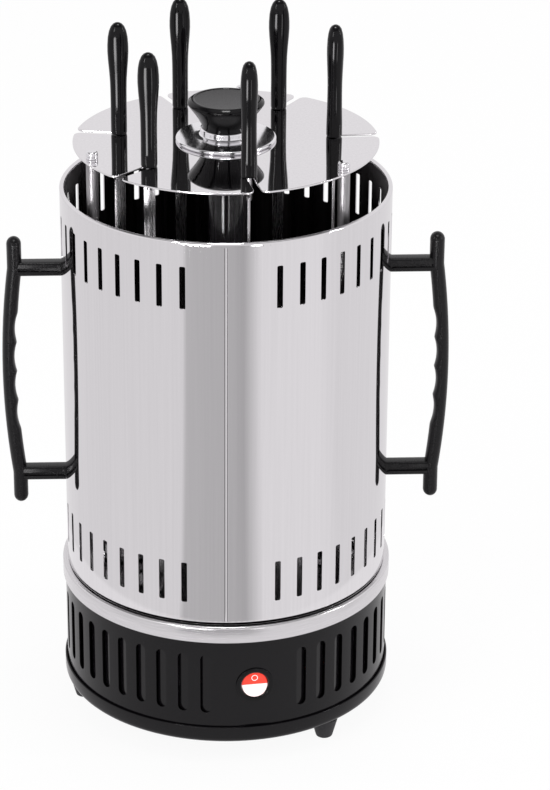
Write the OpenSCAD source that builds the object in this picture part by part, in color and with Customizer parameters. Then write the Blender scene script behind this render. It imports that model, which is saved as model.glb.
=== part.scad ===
// Upright electric skewer grill, built as an assembly of separate pieces.
// Millimetres, +Z up. The origin is on the floor, on the vertical axis, and the shell's seam faces -Y.
// An angle of a place is measured from the front, -Y, and grows towards +X.

/* [Base] */
// Outer diameter of the base rim and of the ring round the deck
base_d = 200; // [196:1:216]
// Height of the feet
foot_h = 13; // [8:0.5:30]
// Height of the rim of the bottom plate
lip_h = 10.9; // [6:0.5:16]
// Height of the band that shows between the rim and the deck ring
band_h = 57.3; // [56:0.1:80]
// Height of the steel ring round the deck
ring_h = 10.3; // [9:0.1:14]
// How far the band stands back from the rim
band_inset = 1.5; // [1.4:0.1:2.5]
// Thickness of the steel sheet of band, deck and shell
sheet_t = 0.8; // [0.6:0.1:1]

/* [Louvres] */
// Width of a louvre
louvre_w = 6.4; // [4:0.1:8]
// Height of a louvre
louvre_h = 39; // [24:0.5:42]
// Angle between two louvres
louvre_pitch = 8; // [7:0.25:10]
// Angle from the switch to the first louvre on each side
louvre_first = 17; // [14:0.5:24]
// Angle by which a louvre's flap is pressed inwards
louvre_tilt = 24; // [10:1:30]

/* [Shell] */
// How far the shell stands back from the edge of the ring round the deck
shell_inset = 3; // [2.5:0.25:5]
// Height of the shell
shell_h = 238.5; // [200:0.5:300]
// Dark gap between the deck ring and the shell's lower edge
shell_gap = 1.75; // [1.5:0.05:3]
// Width of a slot in the shell
slot_w = 3.5; // [2:0.1:5]
// Height of a slot in the shell
slot_h = 25.7; // [15:0.1:27]
// Slots that one full ring would have
slot_ring_count = 44; // [30:1:50]
// Angle by which the slots and the carrying handles are turned from the seam
shell_turn = 1.8; // [-4:0.1:4]
// Height of the upper slots' middle above the shell's lower edge
slot_high = 210.7; // [200:0.1:214]
// Height of the lower slots' middle above the shell's lower edge
slot_low = 25.3; // [23:0.1:34]

/* [Carrying handles] */
// Distance from the shell to the middle of a grip at its arms
grip_stand = 27.5; // [21:0.5:43]
// Outward bow of a grip at mid height
grip_bow = 4.5; // [0:0.5:8]
// Length of a grip
grip_len = 172; // [168:1:200]
// Width of a grip, seen from the front
grip_w = 8.7; // [7:0.1:12]
// Depth of a grip, front to back
grip_depth = 11; // [8:0.5:16]
// Depth of a finger groove in a grip
groove_depth = 1.4; // [0.4:0.1:2]
// Distance between two finger grooves
groove_pitch = 19; // [16:0.5:22]
// Height of an arm
arm_h = 8.4; // [6:0.2:10]
// Depth of an arm, front to back
arm_depth = 9; // [7:0.5:10]
// Distance between the two arms of a handle
arm_span = 133; // [120:1:140]
// Height of the grip's middle above the shell's lower edge
grip_mid = 120.1; // [115:0.1:130]

/* [Top plate] */
// Gap between the top plate's edge and the shell, seen from above
disc_gap = 8.3; // [7:0.1:10]
// Thickness of the top plate
disc_t = 1.1; // [0.8:0.1:2]
// Height of the top plate's upper face above the shell's rim
disc_rise = 26.65; // [15:0.05:50]
// Width of the open slots for the skewers
mouth_w = 4; // [3.8:0.1:5]
// Radius of the rounded corners where a slot opens at the edge
mouth_round = 4; // [1:0.5:5]
// Gap between a post and the shell
post_gap = 9.7; // [8.9:0.1:11.2]
// Diameter of a post
post_d = 7; // [6:0.1:7.2]
// Diameter of the knob
knob_d = 45.2; // [36:0.2:56]
// Height of the knob
knob_h = 16.9; // [14:0.1:30]
// Diameter of the chrome flange under the knob
flange_d = 58.2; // [52:0.2:70]

/* [Skewers] */
// Distance from the shell to a skewer's middle
skewer_gap = 33.3; // [32.8:0.1:34.4]
// Angle from the front to the first skewer
skewer_first = 11.8; // [8:0.1:16]
// Angle between neighbouring skewers
skewer_pitch = 55.4; // [55:0.1:56]
// Width of a skewer's blade
blade_w = 6.4; // [5:0.1:8]
// Thickness of a skewer's blade
blade_t = 1.6; // [1:0.1:2]
// Diameter of a skewer's round neck
neck_d = 3.4; // [2.4:0.1:3.6]
// Length of a skewer's plastic handle
handle_len = 66.8; // [50:0.1:90]
// Greatest width of a skewer's handle
handle_w = 12.2; // [10:0.2:15]
// Greatest thickness of a skewer's handle
handle_t = 9.8; // [8:0.2:12]
// How far a skewer lifts before its tip is out of the socket
skewer_lift = 9; // [8.4:0.1:10]

/* [Drive] */
// Teeth of a spindle gear
gear_teeth = 39;
// Teeth of the motor's pinion
pinion_teeth = 12;
// Thickness of the spindle gears
gear_t = 6; // [4:0.5:7]
// Diameter of the motor
motor_d = 49; // [44:1:52]
// Height of the motor
motor_h = 18; // [14:0.5:22]

/* [Heater] */
// Outer diameter of the quartz tube
quartz_d = 20; // [18:0.5:24]
// Wall of the quartz tube
quartz_t = 1.2; // [1:0.1:1.4]
// Diameter of the heating wire
wire_d = 1.1; // [0.9:0.1:1.3]
// Turns of the heating wire
coil_turns = 24;

/* [Switch] */
// Angle from the front to the switch
switch_angle = 10; // [8:0.5:14]
// Height of the switch's middle above the floor
switch_z = 51.7; // [46:0.1:60]
// Diameter of the switch's bezel
bezel_d = 22.8; // [20:0.2:24]
// Diameter of the rocker
rocker_d = 15.4; // [12:0.2:16]

/* [Hidden] */

// Finish colours of the pieces
steel = "#D2D1D3";
satin_steel = "#A8A8AB";
chrome = "#E2E1E4";
enamel = "#242226";
moulded_black = "#1B1A1D";
red_lens = "#E8401E";
brass = "#C9A24A";
nylon = "#E9E4D6";
ceramic = "#E6E0D4";
quartz = "#DCE6EA";
copper_lead = "#7A3B22";
resistance_wire = "#6B6460";

// Overrun of every cut, and the clearances between pieces
cut = 1;
rest_gap = 0.3;
run_gap = 0.05;
slip_gap = 0.1;
$fn = 96;

// Radii and levels that several pieces share
base_r = base_d / 2;
lip_t = 1.2;
plate_t = 1.5;
floor_z = foot_h + plate_t;
lip_top = foot_h + lip_h;
band_r = base_r - band_inset;
ring_z = lip_top + band_h;
ring_top = ring_z + ring_h;
ring_round = 2 * sheet_t;
deck_sink = 6.5;
deck_z = ring_top - deck_sink;
deck_under = deck_z - sheet_t;
shell_r = base_r - shell_inset;
shell_in_r = shell_r - sheet_t;
shell_z = ring_top + shell_gap;
shell_top = shell_z + shell_h;
hem_w = 3;
rim_w = 2.8;
seat_z = shell_z - rest_gap;
bead_r = shell_r - hem_w - rest_gap;
bead_w = 1.9;
grip_reach = shell_r + grip_stand;
bead_h = 3.8;
disc_r = shell_r - disc_gap;
post_reach = shell_in_r - post_gap - post_d / 2;
disc_z = shell_top + disc_rise;
disc_under = disc_z - disc_t;

// The gear bay under the deck
bay_h = 16.7;
gear_plate_t = 1.5;
gear_plate_z = deck_under - bay_h;
gear_plate_under = gear_plate_z - gear_plate_t;
bush_flange_t = 1;
bush_wall = 1.5;
bush_tail = 2;
hub_h = 3.2;
hub_r = 7;
gear_z = gear_plate_z + bush_flange_t + rest_gap + hub_h;

// The skewers stand on a circle on which neighbouring gears just mesh
skewer_count = 6;
skewer_r = shell_in_r - skewer_gap;
gear_pitch_r = skewer_r * sin(skewer_pitch / 2);
gear_module = 2 * gear_pitch_r / gear_teeth;
pinion_pitch_r = gear_module * pinion_teeth / 2;
backlash = 0.32;
function skewer_angle(k) = skewer_first - k * skewer_pitch;
wide_gap = 360 - (skewer_count - 1) * skewer_pitch;
wide_angle = skewer_first + wide_gap / 2;
post_angles = [for (k = [0 : 2]) wide_angle + k * 120];
// Which way each blade's wide side runs at rest, measured from +X
blade_turns = [90, 0, 0, 0, 0, 90];

// Direction from a point at angle a and radius r, with a sideways shift t
function spot(a, r, z = 0, t = 0) = [r * sin(a) + t * cos(a), t * sin(a) - r * cos(a), z];
function heading(p, q) = atan2(q[1] - p[1], q[0] - p[0]);

// Moves its children to angle a and radius r, with -Y pointing outwards
module at(a, r = 0, z = 0) {
    rotate([0, 0, a]) translate([0, -r, z]) children();
}

// Turns its children's +Z outwards along the radius and their +Y up
module facing(a, r, z) {
    at(a, r, z) rotate([90, 0, 0]) children();
}

module tube(r_out, r_in, h) {
    difference() {
        cylinder(r = r_out, h = h);
        translate([0, 0, -cut]) cylinder(r = r_in, h = h + 2 * cut);
    }
}

// Points of an arc of radius r about c from angle a to angle b
function arc(c, r, a, b, steps = 6) =
    [for (i = [0 : steps]) c + r * [cos(a + (b - a) * i / steps), sin(a + (b - a) * i / steps)]];

// A long hole with round ends, standing up
module stadium(w, h) {
    square([w, h - w], center = true);
    for (s = [-1, 1]) translate([0, s * (h - w) / 2]) circle(d = w);
}

module rounded_rectangle(w, h, r) {
    square([w, h - 2 * r], center = true);
    square([w - 2 * r, h], center = true);
    for (x = [-1, 1], y = [-1, 1]) translate([x * (w / 2 - r), y * (h / 2 - r)]) circle(r = r, $fn = 24);
}

// Closed skin of triangles over rings of points that each run round the same way
module skin(rings) {
    n = len(rings[0]);
    last = (len(rings) - 1) * n;
    walls = [for (i = [0 : len(rings) - 2], j = [0 : n - 1])
        let (a = i * n + j, b = i * n + (j + 1) % n)
        each [[a, a + n, b], [b, a + n, b + n]]];
    lower = [for (j = [1 : n - 2]) [0, j, j + 1]];
    upper = [for (j = [1 : n - 2]) [last, last + j + 1, last + j]];
    polyhedron(points = [for (ring = rings) each ring], faces = concat(walls, lower, upper));
}

// Pan head screw with its head's seat at zero and its shank pointing down
screw_slot_w = 0.8;
screw_slot_depth_share = 0.4;
module screw(shank_d, shank_l, head_d, head_h) {
    difference() {
        union() {
            translate([0, 0, -shank_l]) cylinder(d = shank_d, h = shank_l);
            cylinder(d = head_d, h = head_h);
        }
        for (a = [0, 90]) rotate([0, 0, a])
            translate([-head_d / 3, -screw_slot_w / 2, head_h * (1 - screw_slot_depth_share)])
                cube([head_d * 2 / 3, screw_slot_w, head_h]);
    }
}

// Bottom plate and feet
foot_top_d = 16.8;
foot_tip_d = 9.8;
foot_edge = 0.8;
foot_reach = base_r - foot_top_d / 2 - 3 * lip_t / 2;
foot_angle = 41.5;
foot_angles = [for (k = [0 : 2]) foot_angle + k * 120];
nub_d = 6;
nub_head_d = 8;
nub_head_h = 1.5;
lip_round = 2.5;
pillar_d = 8;
pillar_reach = base_r - 2 * pillar_d;
pillar_lead = 59.5;
pillar_angles = [for (a = foot_angles) a + pillar_lead];
m3_d = 3;
m3_head_d = 6;
m3_head_h = 1.8;
m3_bite = 8;
m4_d = 4;

module bottom_plate() {
    color(enamel) difference() {
        rotate_extrude($fn = 180) polygon(concat(
            [[0, foot_h]],
            arc([base_r - lip_round, foot_h + lip_round], lip_round, -90, 0),
            [[base_r, lip_top], [base_r - lip_t, lip_top], [base_r - lip_t, floor_z], [0, floor_z]]));
        for (a = foot_angles) at(a, foot_reach, foot_h - cut)
            cylinder(d = nub_d + 2 * slip_gap, h = plate_t + 2 * cut);
        for (a = pillar_angles) at(a, pillar_reach, foot_h - cut)
            cylinder(d = m3_d + 2 * slip_gap, h = plate_t + 2 * cut);
    }
}

module feet() {
    color(moulded_black) for (a = foot_angles) at(a, foot_reach) rotate_extrude() polygon([
        [0, 0], [foot_tip_d / 2 - foot_edge, 0], [foot_tip_d / 2, foot_edge], [foot_top_d / 2, foot_h],
        [nub_d / 2, foot_h], [nub_d / 2, floor_z], [nub_head_d / 2, floor_z],
        [nub_d / 2, floor_z + nub_head_h], [0, floor_z + nub_head_h]]);
}

// Louvred band of the base
band_top = ring_top - sheet_t - rest_gap;
louvre_z = (lip_top + ring_z) / 2;
louvre_end_gap = 27;
louvre_count = floor((180 - louvre_end_gap - louvre_first) / louvre_pitch) + 1;
louvre_offsets = [for (i = [0 : louvre_count - 1]) louvre_first + i * louvre_pitch];
louvre_root = 0.8;
switch_hole_d = bezel_d - 3 * sheet_t;
gland_angle = switch_angle + 180;
gland_hole_d = 14;
gland_flange_d = 17;
gland_z = lip_top + gland_flange_d / 2 + rest_gap;

module louvre_hole(a) {
    facing(a, band_r, louvre_z) translate([0, 0, -2 * cut]) linear_extrude(3 * cut)
        stadium(louvre_w, louvre_h);
}

// The pressed flap, hinged on the side nearer the switch
module louvre_flap(a, side) {
    facing(a, band_r - sheet_t / 2, louvre_z) {
        translate([-side * louvre_w / 2, 0, 0]) rotate([0, side * louvre_tilt, 0])
            translate([side * louvre_w / 2, 0, -sheet_t / 4]) linear_extrude(sheet_t / 2)
                stadium(louvre_w, louvre_h);
        translate([-side * (louvre_w + louvre_root) / 2, 0, 0])
            cube([louvre_root + sheet_t / 2, louvre_h - louvre_w, sheet_t / 2], center = true);
    }
}

module base_housing() {
    color(enamel) {
        difference() {
            translate([0, 0, floor_z]) tube(band_r, band_r - sheet_t, band_top - floor_z, $fn = 180);
            for (side = [-1, 1], turn = louvre_offsets) louvre_hole(switch_angle + side * turn);
            facing(switch_angle, band_r - 3 * cut, switch_z) cylinder(d = switch_hole_d, h = 4 * cut);
            facing(gland_angle, band_r - 3 * cut, gland_z) cylinder(d = gland_hole_d, h = 4 * cut);
        }
        for (side = [-1, 1], turn = louvre_offsets) louvre_flap(switch_angle + side * turn, side);
    }
}

// Deck: the steel ring, the seat for the shell and the floor under the skewers
heater_neck_d = 23.4;
deck_bush_d = 11;
spindle_d = 8;
seat_step = 1.1;
module deck_tray() {
    seat_w = shell_r - seat_step - bead_r;
    color(satin_steel) difference() {
        rotate_extrude($fn = 180) polygon(concat(
            [[0, deck_under], [bead_r - sheet_t, deck_under], [bead_r - sheet_t, seat_z - sheet_t],
                [bead_r + seat_w - sheet_t, seat_z - sheet_t],
                [bead_r + seat_w - sheet_t / 2, ring_top - sheet_t]],
            arc([base_r - ring_round, ring_top - ring_round], ring_round - sheet_t, 90, 0, 3),
            [[base_r - sheet_t, ring_z], [base_r, ring_z]],
            arc([base_r - ring_round, ring_top - ring_round], ring_round, 0, 90),
            [[bead_r + seat_w + sheet_t / 2, ring_top], [bead_r + seat_w, seat_z], [bead_r, seat_z],
                [bead_r, seat_z + bead_h], [bead_r - bead_w, seat_z + bead_h], [bead_r - bead_w, deck_z],
                [0, deck_z]]));
        translate([0, 0, deck_under - cut]) {
            cylinder(d = heater_neck_d + 2 * slip_gap, h = sheet_t + 2 * cut);
            for (k = [0 : skewer_count - 1]) at(skewer_angle(k), skewer_r)
                cylinder(d = deck_bush_d + 2 * run_gap, h = sheet_t + 2 * cut);
            for (a = post_angles) at(a, post_reach)
                cylinder(d = m4_d + 2 * slip_gap, h = sheet_t + 2 * cut);
        }
    }
}

// Plate that carries the motor and the lower bearings
gear_plate_d = base_d - 16;
plate_bush_d = 8;
journal_d = 5;
lead_hole_d = 18;
pinion_shaft_d = 6;
pinion_hole_d = 9;
ear_reach = motor_d / 2 + 4.5;
motor_reach = gear_pitch_r + pinion_pitch_r;
last_place = spot(skewer_angle(skewer_count - 1), skewer_r);
first_place = spot(skewer_angle(0), skewer_r);
motor_heading = heading(last_place, first_place);
motor_place = last_place + motor_reach * [cos(motor_heading), sin(motor_heading), 0];
module at_motor(z) {
    translate([motor_place[0], motor_place[1], z]) rotate([0, 0, wide_angle]) children();
}

module gear_plate() {
    color(satin_steel) difference() {
        translate([0, 0, gear_plate_under]) cylinder(d = gear_plate_d, h = gear_plate_t, $fn = 180);
        translate([0, 0, gear_plate_under - cut]) {
            cylinder(d = lead_hole_d, h = gear_plate_t + 2 * cut);
            for (k = [0 : skewer_count - 1]) at(skewer_angle(k), skewer_r)
                cylinder(d = plate_bush_d + 2 * run_gap, h = gear_plate_t + 2 * cut);
            for (a = post_angles) at(a, post_reach)
                cylinder(d = m4_d + 2 * slip_gap, h = gear_plate_t + 2 * cut);
            for (a = pillar_angles) at(a, pillar_reach)
                cylinder(d = m3_d + 2 * slip_gap, h = gear_plate_t + 2 * cut);
        }
        at_motor(gear_plate_under - cut) {
            cylinder(d = pinion_hole_d, h = gear_plate_t + 2 * cut);
            for (s = [-1, 1]) translate([0, s * ear_reach, 0])
                cylinder(d = m3_d + 2 * slip_gap, h = gear_plate_t + 2 * cut);
        }
    }
}

module frame_pillars() {
    color(satin_steel) for (a = pillar_angles) at(a, pillar_reach, floor_z) difference() {
        cylinder(d = pillar_d, h = gear_plate_under - floor_z);
        translate([0, 0, -cut]) cylinder(d = m3_d + 2 * run_gap, h = m3_bite + 2 * cut);
        translate([0, 0, gear_plate_under - floor_z - m3_bite - cut])
            cylinder(d = m3_d + 2 * run_gap, h = m3_bite + 2 * cut);
    }
}

module pillar_screws() {
    color(satin_steel) for (a = pillar_angles) {
        at(a, pillar_reach, gear_plate_z) screw(m3_d, gear_plate_t + m3_bite, m3_head_d, m3_head_h);
        at(a, pillar_reach, foot_h) mirror([0, 0, 1]) screw(m3_d, plate_t + m3_bite, m3_head_d, m3_head_h);
    }
}

spacer_d = 7;
module post_spacers() {
    color(satin_steel) for (a = post_angles) at(a, post_reach, gear_plate_z)
        tube(spacer_d / 2, m4_d / 2 + slip_gap, deck_under - gear_plate_z);
}

// Motor, held under the plate by two ears
motor_ear_t = 1.2;
motor_ear_r = 4;
motor_bore_depth = 10;
motor_box = [13, 8, 9];
module motor_body() {
    color(satin_steel) at_motor(gear_plate_under) difference() {
        union() {
            translate([0, 0, -motor_h]) cylinder(d = motor_d, h = motor_h);
            for (s = [-1, 1]) {
                translate([0, s * ear_reach, -motor_ear_t]) cylinder(r = motor_ear_r, h = motor_ear_t);
                translate([-motor_ear_r, s > 0 ? 0 : -ear_reach, -motor_ear_t])
                    cube([2 * motor_ear_r, ear_reach, motor_ear_t]);
            }
            translate([motor_d / 2 - 2 * cut, -motor_box[1] / 2, -motor_h])
                cube([motor_box[0], motor_box[1], motor_box[2]]);
        }
        translate([0, 0, -motor_bore_depth])
            cylinder(d = pinion_shaft_d + 2 * run_gap, h = motor_bore_depth + cut);
        for (s = [-1, 1]) translate([0, s * ear_reach, -motor_ear_t - cut])
            cylinder(d = m3_d + 2 * run_gap, h = motor_ear_t + 2 * cut);
    }
}

module motor_screws() {
    color(satin_steel) at_motor(gear_plate_z) for (s = [-1, 1]) translate([0, s * ear_reach, 0])
        screw(m3_d, gear_plate_t + 2 * motor_ear_t, m3_head_d, m3_head_h);
}

// Spur gears with involute flanks
pressure_angle = 20;
addendum_share = 0.94;
dedendum_share = 1.25;
flank_shares = [0, 0.4, 0.7, 1];
function involute(a) = tan(a) * 180 / PI - a;
function tooth_half_angle(teeth, r) =
    let (pitch_r = gear_module * teeth / 2, base = pitch_r * cos(pressure_angle))
    90 / teeth - backlash / 4 / pitch_r * 180 / PI + involute(pressure_angle)
        - (r > base ? involute(acos(base / r)) : 0);
function gear_outline(teeth) =
    let (
        pitch_r = gear_module * teeth / 2,
        tip_r = pitch_r + addendum_share * gear_module,
        root_r = pitch_r - dedendum_share * gear_module,
        start_r = max(root_r, pitch_r * cos(pressure_angle)),
        radii = [for (s = flank_shares) start_r + s * (tip_r - start_r)],
        root_turn = tooth_half_angle(teeth, root_r) + (root_r < start_r ? 0 : 0.1)
    )
    [for (i = [0 : teeth - 1])
        let (middle = i * 360 / teeth)
        each concat(
            [root_r * [cos(middle - root_turn), sin(middle - root_turn)]],
            [for (r = radii) let (a = middle - tooth_half_angle(teeth, r)) r * [cos(a), sin(a)]],
            [for (j = [len(radii) - 1 : -1 : 0])
                let (r = radii[j], a = middle + tooth_half_angle(teeth, r)) r * [cos(a), sin(a)]],
            [root_r * [cos(middle + root_turn), sin(middle + root_turn)]])];

// Turn of gear k about its own axis, so that each gear's teeth meet its neighbour's gaps
function gear_turn(k) = k == 0 ? 0 :
    let (line = heading(spot(skewer_angle(k - 1), skewer_r), spot(skewer_angle(k), skewer_r)))
    2 * line + 180 - gear_turn(k - 1) + 180 / gear_teeth;
pinion_turn = motor_heading + 180 + 180 / pinion_teeth
    + (motor_heading - gear_turn(skewer_count - 1)) * gear_teeth / pinion_teeth;

square_side = 5.6;
module spindle_gear(k) {
    place = spot(skewer_angle(k), skewer_r);
    side = square_side + 2 * run_gap;
    color(nylon) translate([place[0], place[1], gear_z]) difference() {
        union() {
            rotate([0, 0, gear_turn(k)]) linear_extrude(gear_t) polygon(gear_outline(gear_teeth));
            translate([0, 0, -hub_h]) cylinder(r = hub_r, h = hub_h + gear_t / 2);
        }
        rotate([0, 0, blade_turns[k]]) cube([side, side, 4 * gear_t], center = true);
    }
}
module spindle_gear_1() { spindle_gear(0); }
module spindle_gear_2() { spindle_gear(1); }
module spindle_gear_3() { spindle_gear(2); }
module spindle_gear_4() { spindle_gear(3); }
module spindle_gear_5() { spindle_gear(4); }
module spindle_gear_6() { spindle_gear(5); }

pinion_over = 0.5;
module motor_pinion() {
    color(brass) at_motor(0) rotate([0, 0, pinion_turn - wide_angle]) {
        translate([0, 0, gear_z - pinion_over]) linear_extrude(gear_t + 2 * pinion_over)
            polygon(gear_outline(pinion_teeth));
        translate([0, 0, gear_plate_under - motor_bore_depth + rest_gap])
            cylinder(d = pinion_shaft_d, h = gear_z - gear_plate_under + motor_bore_depth - rest_gap);
    }
}

// Nylon bushes: one in the deck and one in the plate for each spindle
deck_bush_tail = 2.5;
module deck_bushes() {
    color(nylon) for (k = [0 : skewer_count - 1]) at(skewer_angle(k), skewer_r) difference() {
        union() {
            translate([0, 0, deck_under - deck_bush_tail])
                cylinder(d = deck_bush_d, h = sheet_t + deck_bush_tail + bush_flange_t);
            translate([0, 0, deck_z]) cylinder(d = deck_bush_d + 2 * bush_wall, h = bush_flange_t);
        }
        translate([0, 0, deck_under - deck_bush_tail - cut])
            cylinder(d = spindle_d + 2 * run_gap, h = sheet_t + deck_bush_tail + bush_flange_t + 2 * cut);
    }
}

module plate_bushes() {
    color(nylon) for (k = [0 : skewer_count - 1]) at(skewer_angle(k), skewer_r) difference() {
        union() {
            translate([0, 0, gear_plate_under - bush_tail])
                cylinder(d = plate_bush_d, h = gear_plate_t + bush_tail + bush_flange_t);
            translate([0, 0, gear_plate_z]) cylinder(d = plate_bush_d + 2 * bush_wall, h = bush_flange_t);
        }
        translate([0, 0, gear_plate_under - bush_tail - cut])
            cylinder(d = journal_d + 2 * run_gap, h = gear_plate_t + bush_tail + bush_flange_t + 2 * cut);
    }
}

// Spindle: journals, square for the gear, drip saucer and the socket for the blade
saucer_r = 17;
saucer_t = 0.8;
saucer_rim_h = 4.5;
socket_d = 12;
socket_depth = skewer_lift - 3 * rest_gap;
saucer_z = deck_z + bush_flange_t + rest_gap;
socket_floor = saucer_z + 3 * saucer_t + 3 * rest_gap;
socket_top = socket_floor + socket_depth;
blade_z = socket_floor + rest_gap;
blade_fit = 0.2;
module spindle(k) {
    square_z = gear_z - hub_h;
    color(satin_steel) at(skewer_angle(k), skewer_r) rotate([0, 0, blade_turns[k] - skewer_angle(k)])
    difference() {
        union() {
            translate([0, 0, gear_plate_under - bush_tail]) cylinder(d = journal_d, h = square_z
                - gear_plate_under + bush_tail + rest_gap);
            translate([-square_side / 2, -square_side / 2, square_z])
                cube([square_side, square_side, gear_t + hub_h + rest_gap]);
            translate([0, 0, gear_z + gear_t]) cylinder(d = spindle_d, h = saucer_z - gear_z - gear_t
                + saucer_t / 2);
            translate([0, 0, saucer_z]) rotate_extrude() polygon([
                [0, 0], [saucer_r - saucer_t, 0], [saucer_r + saucer_t, saucer_rim_h],
                [saucer_r, saucer_rim_h], [saucer_r - 2 * saucer_t, saucer_t], [0, saucer_t]]);
            translate([0, 0, saucer_z]) cylinder(d = socket_d, h = socket_top - saucer_z);
        }
        translate([-blade_w / 2 - blade_fit, -blade_t / 2 - blade_fit, socket_floor])
            cube([blade_w + 2 * blade_fit, blade_t + 2 * blade_fit, socket_depth + cut]);
    }
}
module spindle_1() { spindle(0); }
module spindle_2() { spindle(1); }
module spindle_3() { spindle(2); }
module spindle_4() { spindle(3); }
module spindle_5() { spindle(4); }
module spindle_6() { spindle(5); }

// Skewer blade with its round neck and tang
handle_z = disc_z + rest_gap;
neck_z = disc_under - skewer_lift - 2 * rest_gap;
tang_len_share = 0.5;
tip_w_share = 0.45;
tip_len = 4;
module skewer_blade(k) {
    color(chrome) at(skewer_angle(k), skewer_r) rotate([0, 0, blade_turns[k] - skewer_angle(k)]) {
        translate([0, blade_t / 2, 0]) rotate([90, 0, 0]) linear_extrude(blade_t) polygon([
            [-blade_w / 2 * tip_w_share, blade_z], [blade_w / 2 * tip_w_share, blade_z],
            [blade_w / 2, blade_z + tip_len], [blade_w / 2, neck_z - neck_d / 2], [neck_d / 2, neck_z],
            [-neck_d / 2, neck_z], [-blade_w / 2, neck_z - neck_d / 2], [-blade_w / 2, blade_z + tip_len]]);
        translate([0, 0, neck_z - neck_d]) cylinder(d = neck_d, h = handle_z + handle_len * tang_len_share
            - neck_z + neck_d);
    }
}
module skewer_blade_1() { skewer_blade(0); }
module skewer_blade_2() { skewer_blade(1); }
module skewer_blade_3() { skewer_blade(2); }
module skewer_blade_4() { skewer_blade(3); }
module skewer_blade_5() { skewer_blade(4); }
module skewer_blade_6() { skewer_blade(5); }

// Skewer handle: shares of the length down from the tip, of the half width and of the half thickness
handle_shares = [
    [0, 0.18, 0.2], [0.012, 0.42, 0.48], [0.035, 0.64, 0.7], [0.075, 0.82, 0.85], [0.13, 0.94, 0.95],
    [0.2, 0.995, 1], [0.26, 1, 1], [0.34, 0.95, 0.96], [0.43, 0.865, 0.91], [0.52, 0.8, 0.875],
    [0.61, 0.775, 0.87], [0.74, 0.765, 0.89], [0.88, 0.77, 0.94], [0.985, 0.77, 0.95], [1, 0.72, 0.89]];
handle_sides = 24;
tang_gap = 0.1;
function handle_ring(row) =
    let (z = handle_z + handle_len * (1 - row[0]), a = handle_w / 2 * row[1], b = handle_t / 2 * row[2])
    [for (j = [0 : handle_sides - 1])
        let (c = cos(360 * j / handle_sides), s = sin(360 * j / handle_sides))
        [a * sign(c) * pow(abs(c), 0.85), b * sign(s) * pow(abs(s), 0.85), z]];
module skewer_handle(k) {
    rows = [for (i = [len(handle_shares) - 1 : -1 : 0]) handle_shares[i]];
    color(moulded_black) at(skewer_angle(k), skewer_r) rotate([0, 0, blade_turns[k] - skewer_angle(k)])
    difference() {
        skin([for (row = rows) handle_ring(row)]);
        translate([0, 0, handle_z - cut])
            cylinder(d = neck_d + 2 * tang_gap, h = handle_len * tang_len_share + 2 * tang_gap + cut);
    }
}
module skewer_handle_1() { skewer_handle(0); }
module skewer_handle_2() { skewer_handle(1); }
module skewer_handle_3() { skewer_handle(2); }
module skewer_handle_4() { skewer_handle(3); }
module skewer_handle_5() { skewer_handle(4); }
module skewer_handle_6() { skewer_handle(5); }

// Switch: a round body that snaps into the band, with a rocker on two pins
bezel_face = base_r - 0.6;
rocker_r = rocker_d / 2;
rocker_pivot = bezel_face - 1.8;
rocker_tilt = 8;
rocker_back = 4.4;
rocker_gap = 0.25;
rocker_pin_d = 2;
rocker_pin_l = 1;
switch_depth = 21;
switch_cup = 8;
module switch_body() {
    color(moulded_black) difference() {
        union() {
            difference() {
                facing(switch_angle, band_r - 4 * cut, switch_z)
                    cylinder(d = bezel_d, h = bezel_face - band_r + 4 * cut);
                cylinder(r = band_r + run_gap, h = ring_z, $fn = 180);
            }
            facing(switch_angle, bezel_face - switch_depth, switch_z)
                cylinder(d = switch_hole_d - 2 * slip_gap, h = switch_depth - sheet_t / 2);
        }
        facing(switch_angle, rocker_pivot - switch_cup, switch_z)
            cylinder(r = rocker_r + rocker_gap, h = switch_cup + bezel_face);
        facing(switch_angle, rocker_pivot, switch_z) rotate([0, 90, 0])
            cylinder(d = rocker_pin_d + 2 * slip_gap, h = 2 * (rocker_r + rocker_pin_l + slip_gap),
                center = true);
    }
}

module switch_rocker() {
    color(red_lens) facing(switch_angle, rocker_pivot, switch_z) rotate([-rocker_tilt, 0, 0]) {
        difference() {
            sphere(r = rocker_r);
            for (s = [-1, 1]) rotate([-s * rocker_tilt, 0, 0])
                translate([-rocker_d, s > 0 ? -rocker_d : 0, 0]) cube([2 * rocker_d, rocker_d, rocker_d]);
            translate([-rocker_d, -rocker_d, -2 * rocker_d - rocker_back]) cube(2 * rocker_d);
        }
        for (s = [-1, 1]) rotate([0, s * 90, 0]) translate([0, 0, rocker_r - rocker_pin_l])
            cylinder(d = rocker_pin_d, h = 2 * rocker_pin_l);
    }
}

spade = [4.8, 0.8, 7];
spade_pitch = 6;
module switch_terminals() {
    color(brass) facing(switch_angle, bezel_face - switch_depth, switch_z) for (k = [-1 : 1])
        translate([-spade[0] / 2, k * spade_pitch - spade[1] / 2, -spade[2]]) cube(spade);
}

// Inlet for the lead: a rubber grommet in the back of the band
gland_bore_d = 7.4;
gland_face = base_r - 0.5;
gland_len = 8;
module cord_gland() {
    color(moulded_black) difference() {
        union() {
            difference() {
                facing(gland_angle, band_r - 3 * cut, gland_z) cylinder(d = gland_flange_d, h = gland_face
                    - band_r + 3 * cut);
                cylinder(r = band_r + run_gap, h = ring_z, $fn = 180);
            }
            facing(gland_angle, gland_face - gland_len, gland_z)
                cylinder(d = gland_hole_d - 2 * slip_gap, h = gland_len - sheet_t / 2);
        }
        facing(gland_angle, gland_face - gland_len - cut, gland_z)
            cylinder(d = gland_bore_d, h = gland_len + 2 * cut);
    }
}

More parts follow.
